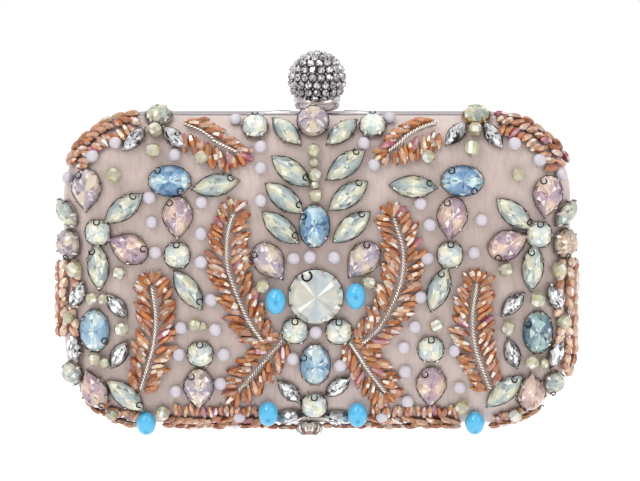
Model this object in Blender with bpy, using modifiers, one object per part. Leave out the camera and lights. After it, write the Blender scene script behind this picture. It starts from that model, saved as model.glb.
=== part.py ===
"""Evening bag: a hard box clutch made of two hinged, satin covered half shells with a jewelled front.

Drawing frame: +X is the bag's right seen from the front, +Z is up and the front faces -Y. The parting
plane of the two halves is y = 0, the metal rims stand on z = 0 and the bag is centred on x = 0. Every
piece hangs from the empty "bag_frame", which shifts the drawing so that the world origin lies on the
resting face under the back rim.
"""

import math

import bmesh
import bpy
from mathutils import Matrix, Vector
from mathutils.bvhtree import BVHTree

MM = 0.001

# Driving dimensions
RIM_WIDTH = 168 * MM
RIM_HEIGHT = 103 * MM
CORNER_RADIUS = 27 * MM
RIM_DEPTH = 7 * MM
EDGE_RADIUS = 12 * MM
EDGE_TURN = math.radians(70)
DOME_RISE = 4.5 * MM
GAP = 0.3 * MM
STEP = 0.15 * MM  # keeps the faces of joined blocks out of one plane
SMOOTHING_ANGLE = math.radians(40)

# Layers of a half shell, measured inwards from the outside of its satin
SATIN_THICKNESS = 0.8 * MM
BOARD_OFFSET = SATIN_THICKNESS + GAP
BOARD_THICKNESS = 1.6 * MM
LINING_OFFSET = BOARD_OFFSET + BOARD_THICKNESS + GAP
LINING_THICKNESS = 0.8 * MM
SHELL_START = RIM_DEPTH + GAP
EDGE_START = SHELL_START + GAP
LINING_START = 5.6 * MM

# Metal rims
PARTING_GAP = 0.3 * MM
RIM_THICKNESS = 1.0 * MM
RIM_ROLL = 0.35 * MM
RIM_ROLL_DEPTH = 1.05 * MM
FLANGE_WIDTH = 2.6 * MM
FLANGE_THICKNESS = 0.8 * MM
RESTING_POINT_DEPTH = RIM_DEPTH / 2

# Faceting
CORNER_STEPS = 5
EDGE_STEPS = 4
DOME_SCALES = (0.66, 0.33)
ROUND_SIDES = 16
TURNED_STEPS = 24
BALL_FACETS = (24, 14)
BEAD_FACETS = (12, 8)

# Hinges, on the axis along X through y = 0, z = 0
HINGE_PLACE = 45 * MM
BARREL_RADIUS = 1.6 * MM
PIN_RADIUS = 0.7 * MM
PIN_CLEARANCE = 0.1 * MM
FRONT_KNUCKLE = 6.0 * MM
BACK_KNUCKLE = 4.5 * MM
LEAF_THICKNESS = 0.8 * MM
LEAF_START = 1.9 * MM
LEAF_END = RIM_DEPTH - FLANGE_THICKNESS - GAP
NOTCH_DEPTH = 2.4 * MM

# Clasp: a lever on a pivot pin in the back rim, hooked into a keeper in the front rim
PIVOT_DEPTH = 3.0 * MM
PIVOT_HEIGHT = 98 * MM
PIVOT_PIN_RADIUS = 1.0 * MM
PIN_HEAD_RADIUS = 1.6 * MM
HUB_RADIUS = 2.0 * MM
HUB_END = 0.2 * MM
LEVER_HALF_WIDTH = 1.8 * MM
ARM_LOW = 98.2 * MM
ARM_TOP = 99.4 * MM
BARB_LOW = 97.0 * MM
BARB_BACK = 4.2 * MM
HOOK_REACH = 5.1 * MM
POST_RADIUS = 1.2 * MM

# Bracket and keeper of the clasp
EAR_INSIDE = 2.4 * MM
EAR_OUTSIDE = 3.4 * MM
WING_REACH = 7.0 * MM
PLATE_TOP = RIM_HEIGHT - RIM_THICKNESS - GAP
PLATE_THICKNESS = 0.8 * MM
BRACKET_HALF_DEPTH = 2.25 * MM
SLOT_DEPTHS = (1.25 * MM, 5.0 * MM)
KEEPER_DEPTHS = (2.8 * MM, 3.6 * MM)
KEEPER_HALF_WIDTH = 5.0 * MM
KEEPER_LOW = 95.2 * MM

# Ball and cup of the clasp. The cup's profile gives radius and height above its floor, in millimetres.
BALL_RADIUS = 9.5 * MM
BALL_HEIGHT = 113.75 * MM
POST_TOP = BALL_HEIGHT - 0.7 * BALL_RADIUS
POST_BORE_TOP = BALL_HEIGHT - 0.6 * BALL_RADIUS
CUP_FLOOR_HEIGHT = 103.45 * MM
CUP_PROFILE = (
    (7.5, 3.35),
    (6.9, 2.05),
    (5.8, 1.05),
    (4.2, 0.35),
    (2.6, 0.0),
    (1.5, 0.0),
    (1.5, 0.5),
    (3.0, 0.5),
    (4.0, 1.05),
    (5.6, 2.05),
    (6.8, 3.35),
)

# Torsion spring of the clasp. Its front leg gives y and z from the pivot, in millimetres.
SPRING_RADIUS = 1.55 * MM
SPRING_WIRE = 0.2 * MM
SPRING_TURNS = 2.25
SPRING_STEPS_PER_TURN = 12
SPRING_FRONT_LEG = ((-4.3, -0.35), (-2.15, -1.55))
SPRING_TOP = PLATE_TOP - PLATE_THICKNESS - 2 * GAP - PIVOT_HEIGHT

# Jewels on the front. Places are x and z on the satin, angles turn a stone's long axis (a pear's tip)
# anticlockwise from +X, seen from the front.
JEWEL_GAP = 0.4 * MM
STONE_SIDES = 16
TABLE_SHARE = 0.58
GIRDLE_SHARE = 0.4
BACK_INSET = 0.2
PEAR_TAPER = 0.6
STONE_HEIGHT = 4.0 * MM
OVAL_SIZE = (14.0 * MM, 10.0 * MM)
PEAR_SIZE = (14.0 * MM, 10.0 * MM)
BEAD_SIZE = (8.2 * MM, 6.6 * MM)
CENTRE_STONE_DIAMETER = 18.0 * MM
TOP_STONE_DIAMETER = 10.6 * MM
TOP_STONE_HEIGHT = 5.0 * MM
TOP_STONE_TILT = math.radians(20)
SETTING_WALL = 0.9 * MM
SETTING_HEIGHT = 2.0 * MM
SPRAY_THICKNESS = 1.8 * MM
BAND_THICKNESS = 1.8 * MM
BAND_TURNS = tuple(math.radians(turn) for turn in (22, 38, 54, 66))

CENTRE_STONE_PLACE = (-0.4, 45.0)
TOP_STONE_BACK = (-1.3 * MM, -16.9 * MM, 101.3 * MM)

OVALS = {
    "blue_oval_top": (-0.8, 67.8, 90),
    "blue_oval_bottom": (-0.6, 22.2, 90),
    "blue_oval_upper_left": (-48.0, 82.4, 0),
    "blue_oval_upper_right": (47.4, 82.4, 0),
    "blue_oval_lower_left": (-73.0, 32.9, 90),
    "blue_oval_lower_right": (72.5, 32.4, 90),
}

PEARS = {
    "pink_pear_upper_outer_left": (-75.3, 79.3, -90),
    "pink_pear_upper_outer_right": (75.3, 77.2, -98),
    "pink_pear_upper_left": (-45.5, 70.5, -90),
    "pink_pear_upper_right": (44.0, 70.3, -97),
    "pink_pear_flank_left": (-61.8, 60.4, 155),
    "pink_pear_flank_right": (62.5, 61.6, 24),
    "opal_pear_centre_left": (-15.4, 56.2, -53),
    "opal_pear_centre_right": (14.8, 56.6, -129),
    "pink_pear_lower_left": (-39.0, 13.9, -90),
    "pink_pear_lower_right": (37.6, 14.6, -92),
    "pink_pear_corner_left": (-73.2, 13.6, 100),
    "pink_pear_corner_right": (70.2, 12.8, 100),
}

TURQUOISE_BEADS = {
    "turquoise_bead_centre_left": (-13.4, 43.5, 90),
    "turquoise_bead_centre_right": (12.6, 45.2, 90),
    "turquoise_bead_lower_left": (-16.1, 7.0, 90),
    "turquoise_bead_lower_right": (13.4, 6.6, 90),
    "turquoise_bead_foot_left": (-56.5, 4.2, 90),
    "turquoise_bead_foot_right": (52.2, 4.4, 90),
}

# Each spray: half width, then the places its stem runs through
SPRAYS = {
    "leaf_spray_top_left": (3.4, ((-43.0, 98.8), (-37.8, 97.8), (-32.3, 95.6), (-25.5, 91.4))),
    "leaf_spray_top_right": (3.4, ((22.6, 91.2), (27.0, 95.2), (33.8, 97.8), (39.0, 98.8))),
    "leaf_spray_middle_left": (
        5.0,
        ((-25.0, 76.5), (-29.0, 65.2), (-29.0, 54.4), (-24.7, 41.3), (-18.6, 32.2)),
    ),
    "leaf_spray_middle_right": (
        5.0,
        ((24.5, 76.0), (27.9, 63.4), (27.9, 55.0), (24.6, 41.0), (17.0, 32.0)),
    ),
    "leaf_spray_outer_left": (4.6, ((-54.0, 51.8), (-52.7, 37.0), (-55.0, 22.5), (-58.6, 12.0))),
    "leaf_spray_outer_right": (4.6, ((52.4, 51.8), (50.7, 35.6), (54.5, 20.1), (57.6, 12.0))),
    "leaf_spray_lower_left": (3.6, ((-11.6, 30.2), (-14.8, 26.2), (-19.8, 20.2), (-27.0, 11.4))),
    "leaf_spray_lower_right": (3.6, ((11.3, 29.2), (15.5, 23.0), (19.2, 17.3), (25.0, 10.6))),
}
SPRAY_STATIONS = 9
SPRAY_COLUMNS = (-1.0, -0.5, 0.0, 0.5, 1.0)
SPRAY_TIP_SHARE = 0.25

# Each band of edging beads: the edge it follows, and where it starts and ends along that edge
EDGE_BANDS = {
    "edge_beads_bottom_left": ("bottom", -50.5, -21.5),
    "edge_beads_bottom_right": ("bottom", 18.5, 46.5),
    "edge_beads_side_left": ("left", 41.5, 56.0),
    "edge_beads_side_right": ("right", 41.5, 56.0),
}

FRONT = -1
BACK = 1

METAL = ((0.78, 0.77, 0.75), 0.22, 1.0)
DARK_METAL = ((0.30, 0.29, 0.30), 0.35, 1.0)
SATIN = ((0.66, 0.56, 0.53), 0.55, 0.0)
BOARD = ((0.45, 0.42, 0.38), 0.85, 0.0)
LINING = ((0.62, 0.53, 0.50), 0.70, 0.0)
CRYSTAL = ((0.42, 0.42, 0.44), 0.12, 0.6)
OPAL = ((0.76, 0.80, 0.76), 0.12, 0.0)
BLUE = ((0.25, 0.50, 0.74), 0.10, 0.0)
PINK = ((0.78, 0.55, 0.64), 0.10, 0.0)
TURQUOISE = ((0.16, 0.52, 0.85), 0.15, 0.0)
AMBER = ((0.80, 0.44, 0.25), 0.18, 0.0)


# ---------------------------------------------------------------- scene, collections and materials


def clear_scene():
    for obj in list(bpy.data.objects):
        bpy.data.objects.remove(obj, do_unlink=True)


def make_collection(name):
    collection = bpy.data.collections.new(name)
    bpy.context.scene.collection.children.link(collection)
    return collection


def material_for(name, look):
    color, roughness, metallic = look
    material = bpy.data.materials.new(name)
    material.use_nodes = True
    shader = material.node_tree.nodes["Principled BSDF"]
    shader.inputs["Base Color"].default_value = (*color, 1.0)
    shader.inputs["Roughness"].default_value = roughness
    shader.inputs["Metallic"].default_value = metallic
    return material


def make_empty(name, location, parent=None):
    empty = bpy.data.objects.new(name, None)
    empty.location = location
    empty.parent = parent
    PARTS.objects.link(empty)
    return empty


def add_part(name, data, look, parent):
    """A named sub-part whose data is drawn in the drawing frame, hung from one of the three empties."""
    part = bpy.data.objects.new(name, data)
    data.materials.append(material_for(name, look))
    PARTS.objects.link(part)
    part.parent = parent
    if parent is not BAG_FRAME:
        part.location = -parent.location
    return part


def add_cutter(name, mesh, parent):
    cutter = bpy.data.objects.new(name, mesh)
    cutter.hide_render = True
    cutter.display_type = "WIRE"
    CUTTERS.objects.link(cutter)
    cutter.parent = parent
    if parent is not BAG_FRAME:
        cutter.location = -parent.location
    return cutter


def combine(part, mesh, operation):
    """Cuts a helper solid from a part, or joins it to the part, with a Boolean modifier."""
    helper = add_cutter(f"{part.name}_{operation.lower()}_{len(part.modifiers)}", mesh, part.parent)
    modifier = part.modifiers.new(operation.title(), "BOOLEAN")
    modifier.operation = operation
    modifier.solver = "EXACT"
    modifier.object = helper


def cut(part, mesh):
    combine(part, mesh, "DIFFERENCE")


def join(part, mesh):
    combine(part, mesh, "UNION")


# ---------------------------------------------------------------- meshes


def finish_mesh(bm, name, smooth=False):
    mesh = bpy.data.meshes.new(name)
    bm.to_mesh(mesh)
    bm.free()
    if smooth:
        mesh.shade_smooth()
        mesh.set_sharp_from_angle(angle=SMOOTHING_ANGLE)
    return mesh


def box_mesh(name, low, high):
    low, high = Vector(low), Vector(high)
    bm = bmesh.new()
    size = Matrix.Diagonal((*(high - low), 1.0))
    bmesh.ops.create_cube(bm, size=1.0, matrix=Matrix.Translation((low + high) / 2) @ size)
    return finish_mesh(bm, name)


def rod_mesh(name, start, end, radius, axis):
    """A cylinder along the "X" or "Z" axis, from start to end, both points on that axis line."""
    start, end = Vector(start), Vector(end)
    turn = Matrix.Rotation(math.radians(90), 4, "Y") if axis == "X" else Matrix.Identity(4)
    bm = bmesh.new()
    bmesh.ops.create_cone(
        bm,
        cap_ends=True,
        segments=ROUND_SIDES,
        radius1=radius,
        radius2=radius,
        depth=(end - start).length,
        matrix=Matrix.Translation((start + end) / 2) @ turn,
    )
    return finish_mesh(bm, name, smooth=True)


def ball_mesh(name, radii, facets, centre=(0, 0, 0)):
    segments, rings = facets
    bm = bmesh.new()
    matrix = Matrix.Translation(centre) @ Matrix.Diagonal((*radii, 1.0))
    bmesh.ops.create_uvsphere(bm, u_segments=segments, v_segments=rings, radius=1.0, matrix=matrix)
    return finish_mesh(bm, name, smooth=True)


def profile_mesh(name, points, closed):
    """A flat profile in the XZ plane for a Screw modifier: x is the radius, z the height."""
    bm = bmesh.new()
    verts = [bm.verts.new((radius, 0.0, height)) for radius, height in points]
    pairs = list(zip(verts, verts[1:]))
    if closed:
        pairs.append((verts[-1], verts[0]))
    for first, second in pairs:
        bm.edges.new((first, second))
    return finish_mesh(bm, name)


def turn_profile(part):
    """Turns a part's profile once round its own Z axis."""
    screw = part.modifiers.new("Turn", "SCREW")
    screw.axis = "Z"
    screw.steps = TURNED_STEPS
    screw.render_steps = TURNED_STEPS
    screw.use_merge_vertices = True
    screw.merge_threshold = 0.00001
    screw.use_smooth_shade = True


def thicken(part, thickness, inwards=True):
    solidify = part.modifiers.new("Thickness", "SOLIDIFY")
    solidify.thickness = thickness
    solidify.offset = -1.0 if inwards else 1.0
    solidify.use_even_offset = True


def bridge(bm, first, second, closed):
    """Quads between two rows of vertices of the same length."""
    count = len(first)
    for i in range(count if closed else count - 1):
        j = (i + 1) % count
        bm.faces.new((first[i], first[j], second[j], second[i]))


# ---------------------------------------------------------------- half shells and rims


def outline(inset, scale=1.0):
    """The rims' rounded outline, inset and scaled about its middle, anticlockwise from the front."""
    half_width = RIM_WIDTH / 2 - inset
    half_height = RIM_HEIGHT / 2 - inset
    radius = CORNER_RADIUS - inset
    points = []
    for quarter in range(4):
        side_x = 1 if quarter in (0, 3) else -1
        side_z = 1 if quarter < 2 else -1
        for step in range(CORNER_STEPS + 1):
            angle = math.radians(90) * (quarter + step / CORNER_STEPS)
            x = side_x * (half_width - radius) + radius * math.cos(angle)
            z = side_z * (half_height - radius) + radius * math.sin(angle)
            points.append((scale * x, RIM_HEIGHT / 2 + scale * z))
        if quarter in (0, 2):
            points.append((0.0, RIM_HEIGHT / 2 + scale * side_z * half_height))
    return points


def edge_profile(turn, offset):
    """Inset and depth on the rounded edge, turned from the side wall towards the front or the back."""
    radius = EDGE_RADIUS - offset
    return offset + radius * (1 - math.cos(turn)), EDGE_START + radius * math.sin(turn)


def shell_surface(side, offset, start_depth):
    """Open surface of a half shell: a side wall, a rounded edge and a shallow domed face."""
    rings = [(outline(offset), start_depth)]
    for step in range(EDGE_STEPS + 1):
        inset, depth = edge_profile(EDGE_TURN * step / EDGE_STEPS, offset)
        rings.append((outline(inset), depth))
    for scale in DOME_SCALES:
        rings.append((outline(inset, scale), depth + DOME_RISE * (1 - scale**2)))
    bm = bmesh.new()
    loops = [
        [bm.verts.new((x, side * ring_depth, z)) for x, z in points] for points, ring_depth in rings
    ]
    for outer, inner in zip(loops, loops[1:]):
        bridge(bm, outer, inner, closed=True)
    crown = bm.verts.new((0.0, side * (depth + DOME_RISE), RIM_HEIGHT / 2))
    last = loops[-1]
    for i, vert in enumerate(last):
        bm.faces.new((vert, last[(i + 1) % len(last)], crown))
    if side == BACK:
        bmesh.ops.reverse_faces(bm, faces=bm.faces)
    bm.normal_update()
    return bm


def make_layer(name, side, parent, look, offset, thickness, start_depth):
    mesh = finish_mesh(shell_surface(side, offset, start_depth), name, smooth=True)
    layer = add_part(name, mesh, look, parent)
    thicken(layer, thickness)


def make_rim(name, side, parent):
    """A metal channel round the half: an outer band with rolled edges and a flange behind the board."""
    start = PARTING_GAP / 2
    section = (
        (RIM_ROLL, start),
        (0.0, start + RIM_ROLL_DEPTH),
        (0.0, RIM_DEPTH - RIM_ROLL_DEPTH),
        (RIM_ROLL, RIM_DEPTH),
        (FLANGE_WIDTH, RIM_DEPTH),
        (FLANGE_WIDTH, RIM_DEPTH - FLANGE_THICKNESS),
        (RIM_THICKNESS, RIM_DEPTH - FLANGE_THICKNESS),
        (RIM_THICKNESS, start),
    )
    bm = bmesh.new()
    loops = [[bm.verts.new((x, side * depth, z)) for x, z in outline(inset)] for inset, depth in section]
    for first, second in zip(loops, loops[1:] + loops[:1]):
        bridge(bm, first, second, closed=True)
    bmesh.ops.recalc_face_normals(bm, faces=bm.faces)
    rim = add_part(name, finish_mesh(bm, name, smooth=True), METAL, parent)
    half_length = hinge_half_length() + 2 * GAP
    for place in (-HINGE_PLACE, HINGE_PLACE):
        low = (place - half_length, -NOTCH_DEPTH, -RIM_THICKNESS)
        high = (place + half_length, NOTCH_DEPTH, RIM_THICKNESS + GAP)
        cut(rim, box_mesh("hinge_notch", low, high))
    return rim


# ---------------------------------------------------------------- hinges


def hinge_half_length():
    return FRONT_KNUCKLE / 2 + GAP + BACK_KNUCKLE


def make_hinge_leaf(name, side, place, parent):
    """A leaf plate inside the rim's floor with its knuckles: one on the front leaf, two on the back."""
    reach = hinge_half_length()
    if side == FRONT:
        knuckles = [(-FRONT_KNUCKLE / 2, FRONT_KNUCKLE / 2)]
    else:
        knuckles = [(-reach, -reach + BACK_KNUCKLE), (reach - BACK_KNUCKLE, reach)]
    plate_low = RIM_THICKNESS + GAP
    plate_top = plate_low + LEAF_THICKNESS
    depths = sorted((side * LEAF_START, side * LEAF_END))
    low = (place - reach, depths[0], plate_low)
    high = (place + reach, depths[1], plate_top)
    leaf = add_part(name, box_mesh(name, low, high), METAL, parent)
    neck_depths = sorted((0.0, side * (LEAF_START + STEP)))
    for start, end in knuckles:
        neck_low = (place + start, neck_depths[0], RIM_THICKNESS)
        neck_high = (place + end, neck_depths[1], plate_top - STEP)
        join(leaf, box_mesh("neck", neck_low, neck_high))
        join(leaf, rod_mesh("knuckle", (place + start, 0, 0), (place + end, 0, 0), BARREL_RADIUS, "X"))
    ends = ((place - 2 * reach, 0, 0), (place + 2 * reach, 0, 0))
    cut(leaf, rod_mesh("pin_hole", *ends, PIN_RADIUS + PIN_CLEARANCE, "X"))


def make_hinge_pin(name, place, parent):
    reach = hinge_half_length()
    mesh = rod_mesh(name, (place - reach, 0, 0), (place + reach, 0, 0), PIN_RADIUS, "X")
    add_part(name, mesh, METAL, parent)


# ---------------------------------------------------------------- clasp


def pivot_rod(name, start, end, radius):
    """A rod on the clasp's pivot axis from x = start to x = end."""
    ends = ((start, PIVOT_DEPTH, PIVOT_HEIGHT), (end, PIVOT_DEPTH, PIVOT_HEIGHT))
    return rod_mesh(name, *ends, radius, "X")


def make_bracket(parent):
    """A U bracket under the back rim's top: two ears for the pivot pin and a slotted top plate."""
    near, far = PIVOT_DEPTH - BRACKET_HALF_DEPTH, PIVOT_DEPTH + BRACKET_HALF_DEPTH
    low, high = (-EAR_OUTSIDE, near, PIVOT_HEIGHT - HUB_RADIUS), (EAR_OUTSIDE, far, PLATE_TOP)
    bracket = add_part("clasp_bracket", box_mesh("clasp_bracket", low, high), METAL, parent)
    wings_low = (-WING_REACH, near, PLATE_TOP - PLATE_THICKNESS)
    join(bracket, box_mesh("wings", wings_low, (WING_REACH, far, PLATE_TOP)))
    inside_low = (-EAR_INSIDE, near - GAP, PIVOT_HEIGHT - 2 * HUB_RADIUS)
    inside_high = (EAR_INSIDE, far + GAP, PLATE_TOP - PLATE_THICKNESS)
    cut(bracket, box_mesh("between_ears", inside_low, inside_high))
    slot_low = (-EAR_INSIDE, SLOT_DEPTHS[0], PIVOT_HEIGHT)
    cut(bracket, box_mesh("stem_slot", slot_low, (EAR_INSIDE, SLOT_DEPTHS[1], RIM_HEIGHT)))
    cut(bracket, pivot_rod("pin_holes", -WING_REACH, WING_REACH, PIVOT_PIN_RADIUS + PIN_CLEARANCE))


def make_pivot_pin(parent):
    """A pin through the ears with a flat head outside each."""
    reach = EAR_OUTSIDE + PLATE_THICKNESS + GAP
    mesh = pivot_rod("clasp_pivot_pin", -reach, reach, PIVOT_PIN_RADIUS)
    pin = add_part("clasp_pivot_pin", mesh, METAL, parent)
    for side in (-1, 1):
        inner, outer = side * (EAR_OUTSIDE + GAP), side * (reach + STEP)
        join(pin, pivot_rod("pin_head", inner, outer, PIN_HEAD_RADIUS))


def lever_block(lever, x_end, depths, heights):
    """Joins a block to the lever: from the lever's left side to x_end, between two depths and heights."""
    low = (-LEVER_HALF_WIDTH, depths[0], heights[0])
    high = (x_end, depths[1], heights[1])
    join(lever, box_mesh("lever_block", low, high))


def make_lever(parent):
    """The clasp lever: a hub on the pin, a hook arm to the front and a stem with a post for the ball."""
    hub = pivot_rod("clasp_lever", -LEVER_HALF_WIDTH, HUB_END, HUB_RADIUS)
    lever = add_part("clasp_lever", hub, METAL, parent)
    stem_depths = (PIVOT_DEPTH - POST_RADIUS, PIVOT_DEPTH + POST_RADIUS)
    stem_low = PIVOT_HEIGHT + HUB_RADIUS + STEP
    stem_top = CUP_FLOOR_HEIGHT - GAP
    arm_start = PIVOT_DEPTH - HUB_RADIUS - GAP
    # the neck is narrow beside the spring, the stem above it is wide
    lever_block(lever, HUB_END, stem_depths, (PIVOT_HEIGHT, stem_low + GAP))
    lever_block(lever, LEVER_HALF_WIDTH, stem_depths, (stem_low, stem_top))
    # the arm is narrow beside the spring, wide in front of it, and ends in a barb
    lever_block(lever, HUB_END, (arm_start - GAP, PIVOT_DEPTH), (ARM_LOW, ARM_TOP - STEP))
    lever_block(lever, LEVER_HALF_WIDTH, (-HOOK_REACH, arm_start), (ARM_LOW - STEP, ARM_TOP))
    lever_block(lever, LEVER_HALF_WIDTH, (-HOOK_REACH, -BARB_BACK), (BARB_LOW, ARM_LOW + GAP))
    post_low = (0, PIVOT_DEPTH, stem_top - GAP)
    join(lever, rod_mesh("post", post_low, (0, PIVOT_DEPTH, POST_TOP), POST_RADIUS, "Z"))
    cut(lever, pivot_rod("lever_bore", -WING_REACH, WING_REACH, PIVOT_PIN_RADIUS + PIN_CLEARANCE))


def make_cup(parent):
    """The polished cup under the ball, turned round the post."""
    profile = [(radius * MM, height * MM) for radius, height in CUP_PROFILE]
    cup = add_part("clasp_cup", profile_mesh("clasp_cup", profile, closed=True), METAL, parent)
    cup.location += Vector((0, PIVOT_DEPTH, CUP_FLOOR_HEIGHT))
    turn_profile(cup)


def make_ball(parent):
    """The crystal covered ball, bored from below for the lever's post."""
    mesh = ball_mesh("clasp_ball", (BALL_RADIUS,) * 3, BALL_FACETS, (0, PIVOT_DEPTH, BALL_HEIGHT))
    ball = add_part("clasp_ball", mesh, CRYSTAL, parent)
    low = (0, PIVOT_DEPTH, BALL_HEIGHT - 2 * BALL_RADIUS)
    cut(ball, rod_mesh("post_bore", low, (0, PIVOT_DEPTH, POST_BORE_TOP), POST_RADIUS + GAP, "Z"))


def spring_points():
    """Points of the spring's wire, measured from the pivot: front leg, coils, then the leg going up."""
    start_x = HUB_END + SPRING_WIRE + GAP
    end_x = EAR_INSIDE - SPRING_WIRE - STEP
    points = [(start_x, y * MM, z * MM) for y, z in SPRING_FRONT_LEG]
    steps = round(SPRING_TURNS * SPRING_STEPS_PER_TURN)
    for step in range(steps + 1):
        angle = 2 * math.pi * SPRING_TURNS * step / steps - math.radians(90)
        x = start_x + (end_x - start_x) * step / steps
        points.append((x, SPRING_RADIUS * math.cos(angle), SPRING_RADIUS * math.sin(angle)))
    points.append((end_x, SPRING_RADIUS, SPRING_TOP))
    return points


def make_spring(parent):
    """A torsion spring beside the hub: one leg up to the bracket, one forward under the arm."""
    curve = bpy.data.curves.new("clasp_spring", "CURVE")
    curve.dimensions = "3D"
    curve.bevel_depth = SPRING_WIRE
    curve.bevel_resolution = 1
    curve.use_fill_caps = True
    points = spring_points()
    wire = curve.splines.new("POLY")
    wire.points.add(len(points) - 1)
    for point, (x, y, z) in zip(wire.points, points):
        point.co = (x, y + PIVOT_DEPTH, z + PIVOT_HEIGHT, 1.0)
    add_part("clasp_spring", curve, METAL, parent)


def make_keeper(parent):
    """The keeper under the front rim's top: a tab, and a plate with a window that the hook enters."""
    near, far = KEEPER_DEPTHS
    tab_low = (-KEEPER_HALF_WIDTH, -LEAF_END, PLATE_TOP - PLATE_THICKNESS)
    tab_high = (KEEPER_HALF_WIDTH, -near, PLATE_TOP)
    keeper = add_part("catch_plate", box_mesh("catch_plate", tab_low, tab_high), METAL, parent)
    plate_low = (-KEEPER_HALF_WIDTH, -far, KEEPER_LOW)
    plate_high = (KEEPER_HALF_WIDTH, -near, PLATE_TOP - STEP)
    join(keeper, box_mesh("plate", plate_low, plate_high))
    window_low = (-EAR_INSIDE, -far - GAP, BARB_LOW - GAP)
    window_high = (EAR_INSIDE, -near + GAP, PLATE_TOP - PLATE_THICKNESS)
    cut(keeper, box_mesh("window", window_low, window_high))


# ---------------------------------------------------------------- jewels


def seat(x, z):
    """The point on the front satin at x, z (mm) and the outward normal there."""
    origin = Vector((x * MM, -RIM_WIDTH, z * MM))
    point, normal, _, _ = FRONT_SATIN.ray_cast(origin, Vector((0, 1, 0)))
    return point, normal


def place_on_satin(part, x, z, angle, height):
    """Stands a part on the front satin: its Z axis along the normal, its X axis turned by the angle."""
    point, normal = seat(x, z)
    turn = math.radians(angle)
    along = Vector((math.cos(turn), 0, math.sin(turn)))
    along = (along - along.dot(normal) * normal).normalized()
    axes = Matrix((along, normal.cross(along), normal)).transposed()
    part.location += point + normal * height
    part.rotation_euler = axes.to_euler()


def pear_width(turn):
    """How far a pear narrows towards its tip at turn 0, as a share of the oval's width there."""
    u = math.cos(turn)
    if u <= 0:
        return 1.0
    return math.sqrt((1 - u) / (1 + u)) * (1 + PEAR_TAPER * u) if u < 1 else 0.0


def stone_mesh(name, size, height=STONE_HEIGHT, pear=False):
    """A cut stone: a crown up to its table, and a short tapered back below the girdle."""
    length, width = size
    bm = bmesh.new()
    bmesh.ops.create_cone(
        bm,
        cap_ends=True,
        segments=STONE_SIDES,
        radius1=1.0,
        radius2=TABLE_SHARE,
        depth=1.0 - GIRDLE_SHARE,
    )
    back = [min(bm.faces, key=lambda face: face.normal.z)]
    bmesh.ops.inset_region(
        bm, faces=back, thickness=BACK_INSET, depth=GIRDLE_SHARE, use_even_offset=True
    )
    low = min(vert.co.z for vert in bm.verts)
    for vert in bm.verts:
        turn = math.atan2(vert.co.y, vert.co.x)
        vert.co.x *= length / 2
        vert.co.y *= width / 2 * (pear_width(turn) if pear else 1.0)
        vert.co.z = (vert.co.z - low) * height
    bmesh.ops.remove_doubles(bm, verts=bm.verts, dist=0.01 * MM)
    bmesh.ops.recalc_face_normals(bm, faces=bm.faces)
    return finish_mesh(bm, name)


def make_ovals(parent):
    for name, (x, z, angle) in OVALS.items():
        oval = add_part(name, stone_mesh(name, OVAL_SIZE), BLUE, parent)
        place_on_satin(oval, x, z, angle, JEWEL_GAP)


def make_pears(parent):
    for name, (x, z, angle) in PEARS.items():
        pear = add_part(name, stone_mesh(name, PEAR_SIZE, pear=True), PINK, parent)
        place_on_satin(pear, x, z, angle, JEWEL_GAP)


def make_top_stone(parent):
    """The round stone at the middle of the top edge, which leans up and back from facing the front."""
    size = (TOP_STONE_DIAMETER, TOP_STONE_DIAMETER)
    stone = add_part("pink_round_top", stone_mesh("pink_round_top", size, TOP_STONE_HEIGHT), PINK, parent)
    stone.location += Vector(TOP_STONE_BACK)
    stone.rotation_euler.x = math.radians(90) - TOP_STONE_TILT


def make_turquoise_beads(parent):
    length, width = BEAD_SIZE
    for name, (x, z, angle) in TURQUOISE_BEADS.items():
        mesh = ball_mesh(name, (length / 2, width / 2, width / 2), BEAD_FACETS)
        bead = add_part(name, mesh, TURQUOISE, parent)
        place_on_satin(bead, x, z, angle, width / 2 + JEWEL_GAP)


def make_centre_stone(parent):
    """The large round stone in the middle, in its own metal cup."""
    radius = CENTRE_STONE_DIAMETER / 2
    inner = radius + GAP
    floor = PLATE_THICKNESS
    profile = (
        (0.0, floor),
        (inner, floor),
        (inner, SETTING_HEIGHT),
        (inner + SETTING_WALL, SETTING_HEIGHT),
        (inner + SETTING_WALL, 0.0),
        (0.0, 0.0),
    )
    setting_mesh = profile_mesh("centre_setting", profile, closed=False)
    setting = add_part("centre_setting", setting_mesh, DARK_METAL, parent)
    turn_profile(setting)
    place_on_satin(setting, *CENTRE_STONE_PLACE, 0, JEWEL_GAP)
    size = (CENTRE_STONE_DIAMETER, CENTRE_STONE_DIAMETER)
    stone = add_part("centre_stone", stone_mesh("centre_stone", size), OPAL, parent)
    place_on_satin(stone, *CENTRE_STONE_PLACE, 0, JEWEL_GAP + floor + GAP)


def face_forwards(bm):
    """Turns an open sheet's faces so that they look to the front."""
    bm.normal_update()
    if sum(face.normal.y * face.calc_area() for face in bm.faces) > 0:
        bmesh.ops.reverse_faces(bm, faces=bm.faces)


def sheet_part(name, rows, thickness, parent):
    """A closed sheet over rows of points, thickened outwards."""
    bm = bmesh.new()
    lines = [[bm.verts.new(point) for point in row] for row in rows]
    for first, second in zip(lines, lines[1:]):
        bridge(bm, first, second, closed=False)
    face_forwards(bm)
    sheet = add_part(name, finish_mesh(bm, name, smooth=True), AMBER, parent)
    thicken(sheet, thickness, inwards=False)


def along_line(points, share):
    """The place at a share of the way along a bent line, and the unit direction there."""
    spans = [Vector(b) - Vector(a) for a, b in zip(points, points[1:])]
    left = share * sum(span.length for span in spans)
    for start, span in zip(points, spans):
        if left <= span.length or span is spans[-1]:
            return Vector(start) + span.normalized() * left, span.normalized()
        left -= span.length
    return Vector(points[-1]), spans[-1].normalized()


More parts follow.
